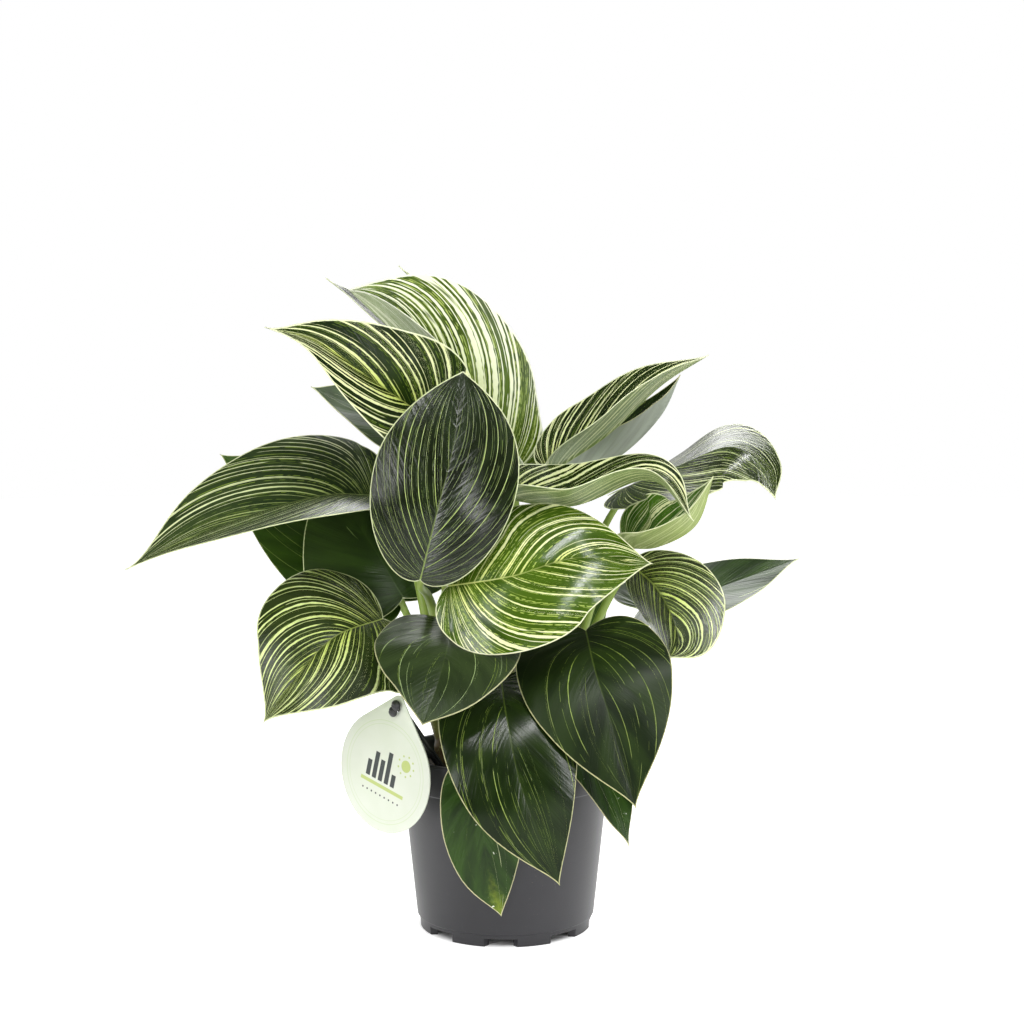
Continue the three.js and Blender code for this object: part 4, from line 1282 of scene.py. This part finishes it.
def crumbTree(material):
    tree = bpy.data.node_groups.new("strewnCrumbs", "GeometryNodeTree")
    sockets = {"Geometry": "Geometry", "Density": "Float", "Crumb Size": "Float", "Seed": "Int"}
    for name, kind in sockets.items():
        tree.interface.new_socket(name=name, in_out="INPUT", socket_type=f"NodeSocket{kind}")
    tree.interface.new_socket(name="Geometry", in_out="OUTPUT", socket_type="NodeSocketGeometry")
    given = addNode(tree, "NodeGroupInput")
    bare = addNode(tree, "GeometryNodeInputNamedAttribute", {"data_type": "FLOAT"}, {"Name": "open"})
    strewn = addNode(tree, "GeometryNodeDistributePointsOnFaces", None, {
        "Mesh": given["Geometry"], "Density": bare["Attribute"] * given["Density"], "Seed": given["Seed"],
    })
    inputs = {"Radius": given["Crumb Size"], "Subdivisions": 2}
    crumb = addNode(tree, "GeometryNodeMeshIcoSphere", None, inputs)["Mesh"]
    inputs = {"Scale": soilForm["dentScale"], "Detail": 1.0}
    dent = addNode(tree, "ShaderNodeTexNoise", None, inputs)["Color"]
    for operation, amount in (("SUBTRACT", (0.5, 0.5, 0.5)), ("MULTIPLY", soilForm["dentDepth"])):
        inputs = {0: dent, 1: amount}
        dent = addNode(tree, "ShaderNodeVectorMath", {"operation": operation}, inputs)["Vector"]
    inputs = {"Geometry": crumb, "Offset": dent}
    crumb = addNode(tree, "GeometryNodeSetPosition", None, inputs)["Geometry"]
    turn = addNode(tree, "FunctionNodeRandomValue", {"data_type": "FLOAT_VECTOR"}, {
        0: (0, 0, 0), 1: (6.28, 6.28, 6.28), "Seed": given["Seed"],
    })["Value"]
    size = addNode(tree, "FunctionNodeRandomValue", {"data_type": "FLOAT_VECTOR"}, {
        0: soilForm["smallestCrumb"], 1: soilForm["largestCrumb"], "Seed": given["Seed"] + 3,
    })["Value"]
    placed = addNode(tree, "GeometryNodeInstanceOnPoints", None, {
        "Points": strewn["Points"], "Instance": crumb, "Rotation": turn, "Scale": size,
    })["Instances"]
    joined = addNode(tree, "GeometryNodeJoinGeometry")
    tree.links.new(given["Geometry"].socket, joined.node.inputs[0])
    tree.links.new(placed.socket, joined.node.inputs[0])
    inputs = {"Geometry": joined["Geometry"]}
    whole = addNode(tree, "GeometryNodeRealizeInstances", None, inputs)["Geometry"]
    inputs = {"Geometry": whole, "Material": material}
    whole = addNode(tree, "GeometryNodeSetMaterial", None, inputs)["Geometry"]
    addNode(tree, "NodeGroupOutput", None, {"Geometry": whole})
    return tree


def setInputs(modifier, values):
    for item in modifier.node_group.interface.items_tree:
        if item.in_out == "INPUT" and item.name in values:
            modifier[item.identifier] = values[item.name]


def insideRim(points, margin, fade):  # 1 well inside the pot's wall, 0 at it
    edge = potInner(soilForm["edge"])
    return np.clip((edge - margin - np.hypot(points[:, 0], points[:, 1])) / fade, 0, 1)


def makeSoil():
    form = soilForm
    points, faces = turnedForm(soilOutline(), form["facets"])
    points = np.array(points, float)
    inward = insideRim(points, form["lumpMargin"], form["lumpFade"]) * (points[:, 2] > form["edge"] - 0.01)
    for index, point in enumerate(points):
        if inward[index] > 0:
            spot = Vector(point / form["lumpSize"])
            lump = noise.fractal(spot, form["lumpRoughness"], form["lumpGrowth"], form["lumpLayers"])
            points[index, 2] += (lump - form["lumpSink"]) * form["lumps"] * inward[index]
    material = soilSkin()
    piece = makePiece("soil_fine", points, faces, [material])
    cleaned(piece)
    places = np.array([point.co[:] for point in piece.data.vertices]) / mm
    inward = insideRim(places, form["crumbMargin"], form["crumbFade"])
    setAttribute(piece, "open", inward * (places[:, 2] > form["edge"] - form["crumbDrop"]))
    modifier = piece.modifiers.new("strewnCrumbs", "NODES")
    modifier.node_group = crumbTree(material)
    setInputs(modifier, {"Density": form["crumbs"], "Crumb Size": form["crumbSize"], "Seed": form["seed"]})
    settle(piece)
    standsFor(piece, "soil")


makeSoil()
print("soil filled")


# Tag: a drop of card on a ribbed strap with a two-lobed knob

tagForm = {
    "discRadius": 33, "apexHeight": 44, "apexRadius": 4, "thickness": 0.8, "edge": 0.12, "arcSteps": 90,
    "apexSteps": 30, "centre": (-64.5, -38, 93), "turn": -40, "lean": 15, "holeHeight": 37,
    "holeRadius": 2.3, "holeSteps": 40, "clearance": 0.3, "cardSharpFrom": 30,
    "strapFoot": (-16, -28, 66), "strapWidth": 5, "strapDepth": 2.2, "flangeShare": 0.5, "ribShare": 0.3,
    "ribTaper": 0.7,
    "strapPoint": [(0, 0.15), (3, 0.7), (6, 1)],  # distance from the foot, and share of the full width
    "strapEnd": [(1.2, 1), (0.3, 0.9), (0, 0.6)],  # the same from the top
    "pegRadius": 1.6, "pegRoot": 1, "pegFacets": 28, "knobRadius": 3, "knobFlatness": 0.6,
    "knobSpread": 2, "knobSlant": 0.6, "lowerLobe": 0.94, "lobeSteps": 22, "lobeFacets": 36,
    "grooveHalf": 0.55, "grooveShare": 0.93, "strapSharpFrom": 35,
    "blackTone": (0.010, 0.010, 0.011), "greyTone": (0.024, 0.024, 0.026), "strapRough": 0.28,
}

# The print, in millimetres from the middle of the card's round part
cardPrint = {
    "soft": 0.12,
    "rings": [(28.2, 0.22), (26.2, 0.16)],  # radius and half width
    "barHeights": (9, 15, 12, 18, 7),
    "barFoot": -6,
    "firstBar": (-13, -9.9),
    "barPitch": 4.6,
    "sun": (14, 9),
    "sunRadius": 3.3,
    "rays": 9,
    "rayReach": 5.6,
    "rayRadius": 0.6,
    "ground": (-16, 16, -9.6, -7.6),
    "dots": 9,
    "firstDot": (-13.2, -13.6),
    "dotPitch": 3.3,
    "dotRadius": 0.55,
    "paperTones": ((0.63, 0.67, 0.56), (0.66, 0.69, 0.60)),
    "fibreTone": (0.58, 0.63, 0.51),
    "ringTone": (0.50, 0.60, 0.34),
    "greenTone": (0.46, 0.54, 0.18),
    "darkTone": (0.035, 0.042, 0.04),
    "rough": 0.5,
}


def tagMatrix():
    turn = Matrix.Rotation(math.radians(tagForm["turn"]), 4, "Z")
    lean = Matrix.Rotation(-math.radians(tagForm["lean"]), 4, "Z")
    return Matrix.Translation(tagForm["centre"]) @ turn @ Matrix.Rotation(math.pi / 2, 4, "X") @ lean


def arc(centreHeight, radius, start, end, steps):
    angles = np.linspace(start, end, steps)
    return [(radius * math.cos(a), centreHeight + radius * math.sin(a)) for a in angles]


def cardLoops():
    form = tagForm
    apexCentre = form["apexHeight"] - form["apexRadius"]
    spread = math.asin((form["discRadius"] - form["apexRadius"]) / apexCentre)
    outline = arc(0, form["discRadius"], math.pi - spread, 2 * math.pi + spread, form["arcSteps"])
    outline += arc(apexCentre, form["apexRadius"], spread, math.pi - spread, form["apexSteps"])
    turn = 2 * math.pi
    hole = arc(form["holeHeight"], form["holeRadius"], turn, turn / form["holeSteps"], form["holeSteps"])
    return outline, hole


def makeCard():
    curve = bpy.data.curves.new("tag_card_fine", "CURVE")
    curve.dimensions = "2D"
    curve.fill_mode = "BOTH"
    curve.extrude = tagForm["thickness"] / 2 - tagForm["edge"]
    curve.bevel_depth = tagForm["edge"]
    curve.bevel_resolution = 2
    curve.offset = -tagForm["edge"]
    for loop in cardLoops():
        spline = curve.splines.new("POLY")
        spline.points.add(len(loop) - 1)
        spline.points.foreach_set("co", np.array([(x, y, 0, 1) for x, y in loop]).ravel())
        spline.use_cyclic_u = True
    source = bpy.data.objects.new("tag_card_fine", curve)
    scene.collection.objects.link(source)
    graph = bpy.context.evaluated_depsgraph_get()
    mesh = bpy.data.meshes.new_from_object(source.evaluated_get(graph), depsgraph=graph)
    bpy.data.objects.remove(source)
    flat = np.array([point.co[:] for point in mesh.vertices])
    placed = [tagMatrix() @ Vector(point) for point in flat]
    faces = [tuple(face.vertices) for face in mesh.polygons]
    piece = makePiece("tag_card_fine", [tuple(point) for point in placed], faces, [cardSkin()])
    setAttribute(piece, "card", flat)
    cleaned(piece)
    piece.data.set_sharp_from_angle(angle=math.radians(tagForm["cardSharpFrom"]))
    standsFor(piece, "tag_card")


def cardSkin():
    skin = Skin("printedCard")
    form = cardPrint
    x, y, z = skin.split(skin.attribute("card")["Vector"])
    fromMiddle = (x * x + y * y) ** 0.5
    soft = form["soft"]

    def disc(cx, cy, radius):
        apart = ((x - cx) * (x - cx) + (y - cy) * (y - cy)) ** 0.5
        return skin.step(apart, radius + soft, radius - soft)

    def band(value, middle, half):
        return skin.step(abs(value - middle), half + soft, half - soft)

    def bar(left, right, low, high):
        return band(x, (left + right) / 2, (right - left) / 2) * band(y, (low + high) / 2, (high - low) / 2)

    def either(shapes):
        whole = shapes[0]
        for shape in shapes[1:]:
            whole = whole.joined("MAXIMUM", shape)
        return whole

    rings = either([band(fromMiddle, radius, half) for radius, half in form["rings"]])
    left, right = form["firstBar"]
    foot = form["barFoot"]
    steps = [form["barPitch"] * i for i in range(len(form["barHeights"]))]
    bars = either([
        bar(left + step, right + step, foot, foot + high) for step, high in zip(steps, form["barHeights"])
    ])
    sunX, sunY = form["sun"]
    angles = np.linspace(0, 2 * math.pi, form["rays"] + 1)[:-1]
    spots = [(sunX + form["rayReach"] * math.cos(a), sunY + form["rayReach"] * math.sin(a)) for a in angles]
    rays = [disc(*spot, form["rayRadius"]) for spot in spots]
    sun = either([disc(sunX, sunY, form["sunRadius"]), *rays])
    ground = bar(*form["ground"])
    dotX, dotY = form["firstDot"]
    dots = either([disc(dotX + form["dotPitch"] * i, dotY, form["dotRadius"]) for i in range(form["dots"])])
    paper = skin.noise(skin.place(), scale=900, detail=3.0)
    cloud = skin.noise(skin.place(), scale=60)
    colour = skin.blend(skin.step(cloud, 0.3, 0.7), *form["paperTones"])
    colour = skin.blend(paper * 0.08, colour, form["fibreTone"])
    front = skin.step(z, 0.3, 0.35)
    colour = skin.blend(rings * front * 0.55, colour, form["ringTone"])
    colour = skin.blend(either([sun, ground]) * front, colour, form["greenTone"])
    colour = skin.blend(either([bars, dots]) * front, colour, form["darkTone"])
    return skin.finish({
        "Base Color": colour,
        "Roughness": form["rough"] + paper * 0.15,
        "Normal": skin.bump(paper, 0.0001, 0.3),
    })


def blackSkin():
    skin = Skin("blackPlastic")
    place = skin.place()
    cloud = skin.noise(place, scale=120, detail=3.0)
    grain = skin.noise(place, scale=3000, detail=1.0)
    return skin.finish({
        "Base Color": skin.blend(skin.step(cloud, 0.35, 0.7), tagForm["blackTone"], tagForm["greyTone"]),
        "Roughness": tagForm["strapRough"] + cloud * 0.2,
        "Normal": skin.bump(grain + cloud * 0.4, 0.0002, 0.3),
    })


def strapRing(across, thick, place, share):  # a flat strap with a rib along its middle
    half = tagForm["strapWidth"] / 2
    deep = tagForm["strapDepth"] / 2
    flange = deep * tagForm["flangeShare"]
    rib = half * tagForm["ribShare"]
    ribTop = rib * tagForm["ribTaper"]
    back = [(-half, -flange), (-rib, -flange), (-ribTop, -deep)]
    back += [(-x, y) for x, y in reversed(back)]
    corners = back + [(x, -y) for x, y in reversed(back)]
    return [place + across * x * share + thick * y * share for x, y in corners]


def makeStrap():
    form = tagForm
    matrix = tagMatrix()
    behind = form["thickness"] / 2 + form["clearance"] + form["strapDepth"] / 2
    top = np.array(matrix @ Vector((0, form["holeHeight"], -behind)))
    foot = np.array(form["strapFoot"], float)
    along = unit(top - foot)
    outward = np.array(matrix.to_3x3() @ Vector((0, 0, 1)))
    across = unit(np.cross(along, outward))
    thick = np.cross(along, across)
    length = np.linalg.norm(top - foot)
    points, faces = [], []
    stations = form["strapPoint"] + [(length - back, share) for back, share in form["strapEnd"]]
    for distance, share in stations:
        ring = strapRing(across, thick, foot + along * distance, share)
        count = len(ring)
        if points:
            high = len(points)
            low = high - count
            steps = [(k, (k + 1) % count) for k in range(count)]
            faces += [(low + k, low + after, high + after, high + k) for k, after in steps]
        points += ring
    faces.append(tuple(range(count - 1, -1, -1)))
    faces.append(tuple(range(len(points) - count, len(points))))
    return points, faces


def makeKnob():
    form = tagForm
    matrix = tagMatrix()
    seat = form["thickness"] / 2 + form["clearance"]
    points, faces = [], []
    root = seat + form["pegRoot"]
    peg = [(0, -root), (form["pegRadius"], -root), (form["pegRadius"], root), (0, root)]
    pegPoints, pegFaces = turnedForm(peg, form["pegFacets"])
    forms = [([(x, y + form["holeHeight"], z) for x, y, z in pegPoints], pegFaces)]
    flat = form["knobFlatness"]
    for side, size in ((-1, form["lowerLobe"]), (1, 1)):
        radius = form["knobRadius"] * size
        angles = np.linspace(0, math.pi, form["lobeSteps"])
        profile = [(radius * math.sin(a), -radius * math.cos(a)) for a in angles]
        for index, (out, height) in enumerate(profile):
            if abs(height) <= form["grooveHalf"]:  # a shallow groove round each lobe
                profile[index] = (out * form["grooveShare"], height)
        profile[0], profile[-1] = (0, -radius), (0, radius)
        lobe, sides = turnedForm(profile, form["lobeFacets"])
        aside = side * form["knobSlant"]
        rise = form["holeHeight"] + side * form["knobSpread"]
        placed = [(x + aside, z + rise, -y * flat + seat + form["knobRadius"] * flat) for x, y, z in lobe]
        forms.append((placed, sides))
    for corners, sides in forms:
        faces += [tuple(k + len(points) for k in side) for side in sides]
        points += [tuple(matrix @ Vector(corner)) for corner in corners]
    return points, faces


def makeStake():
    strapPoints, strapFaces = makeStrap()
    knobPoints, knobFaces = makeKnob()
    faces = strapFaces + [tuple(k + len(strapPoints) for k in face) for face in knobFaces]
    piece = makePiece("tag_stake_fine", [*strapPoints, *knobPoints], faces, [blackSkin()])
    cleaned(piece)
    piece.data.set_sharp_from_angle(angle=math.radians(tagForm["strapSharpFrom"]))
    standsFor(piece, "tag_stake")


makeCard()
makeStake()
print("tag hung")
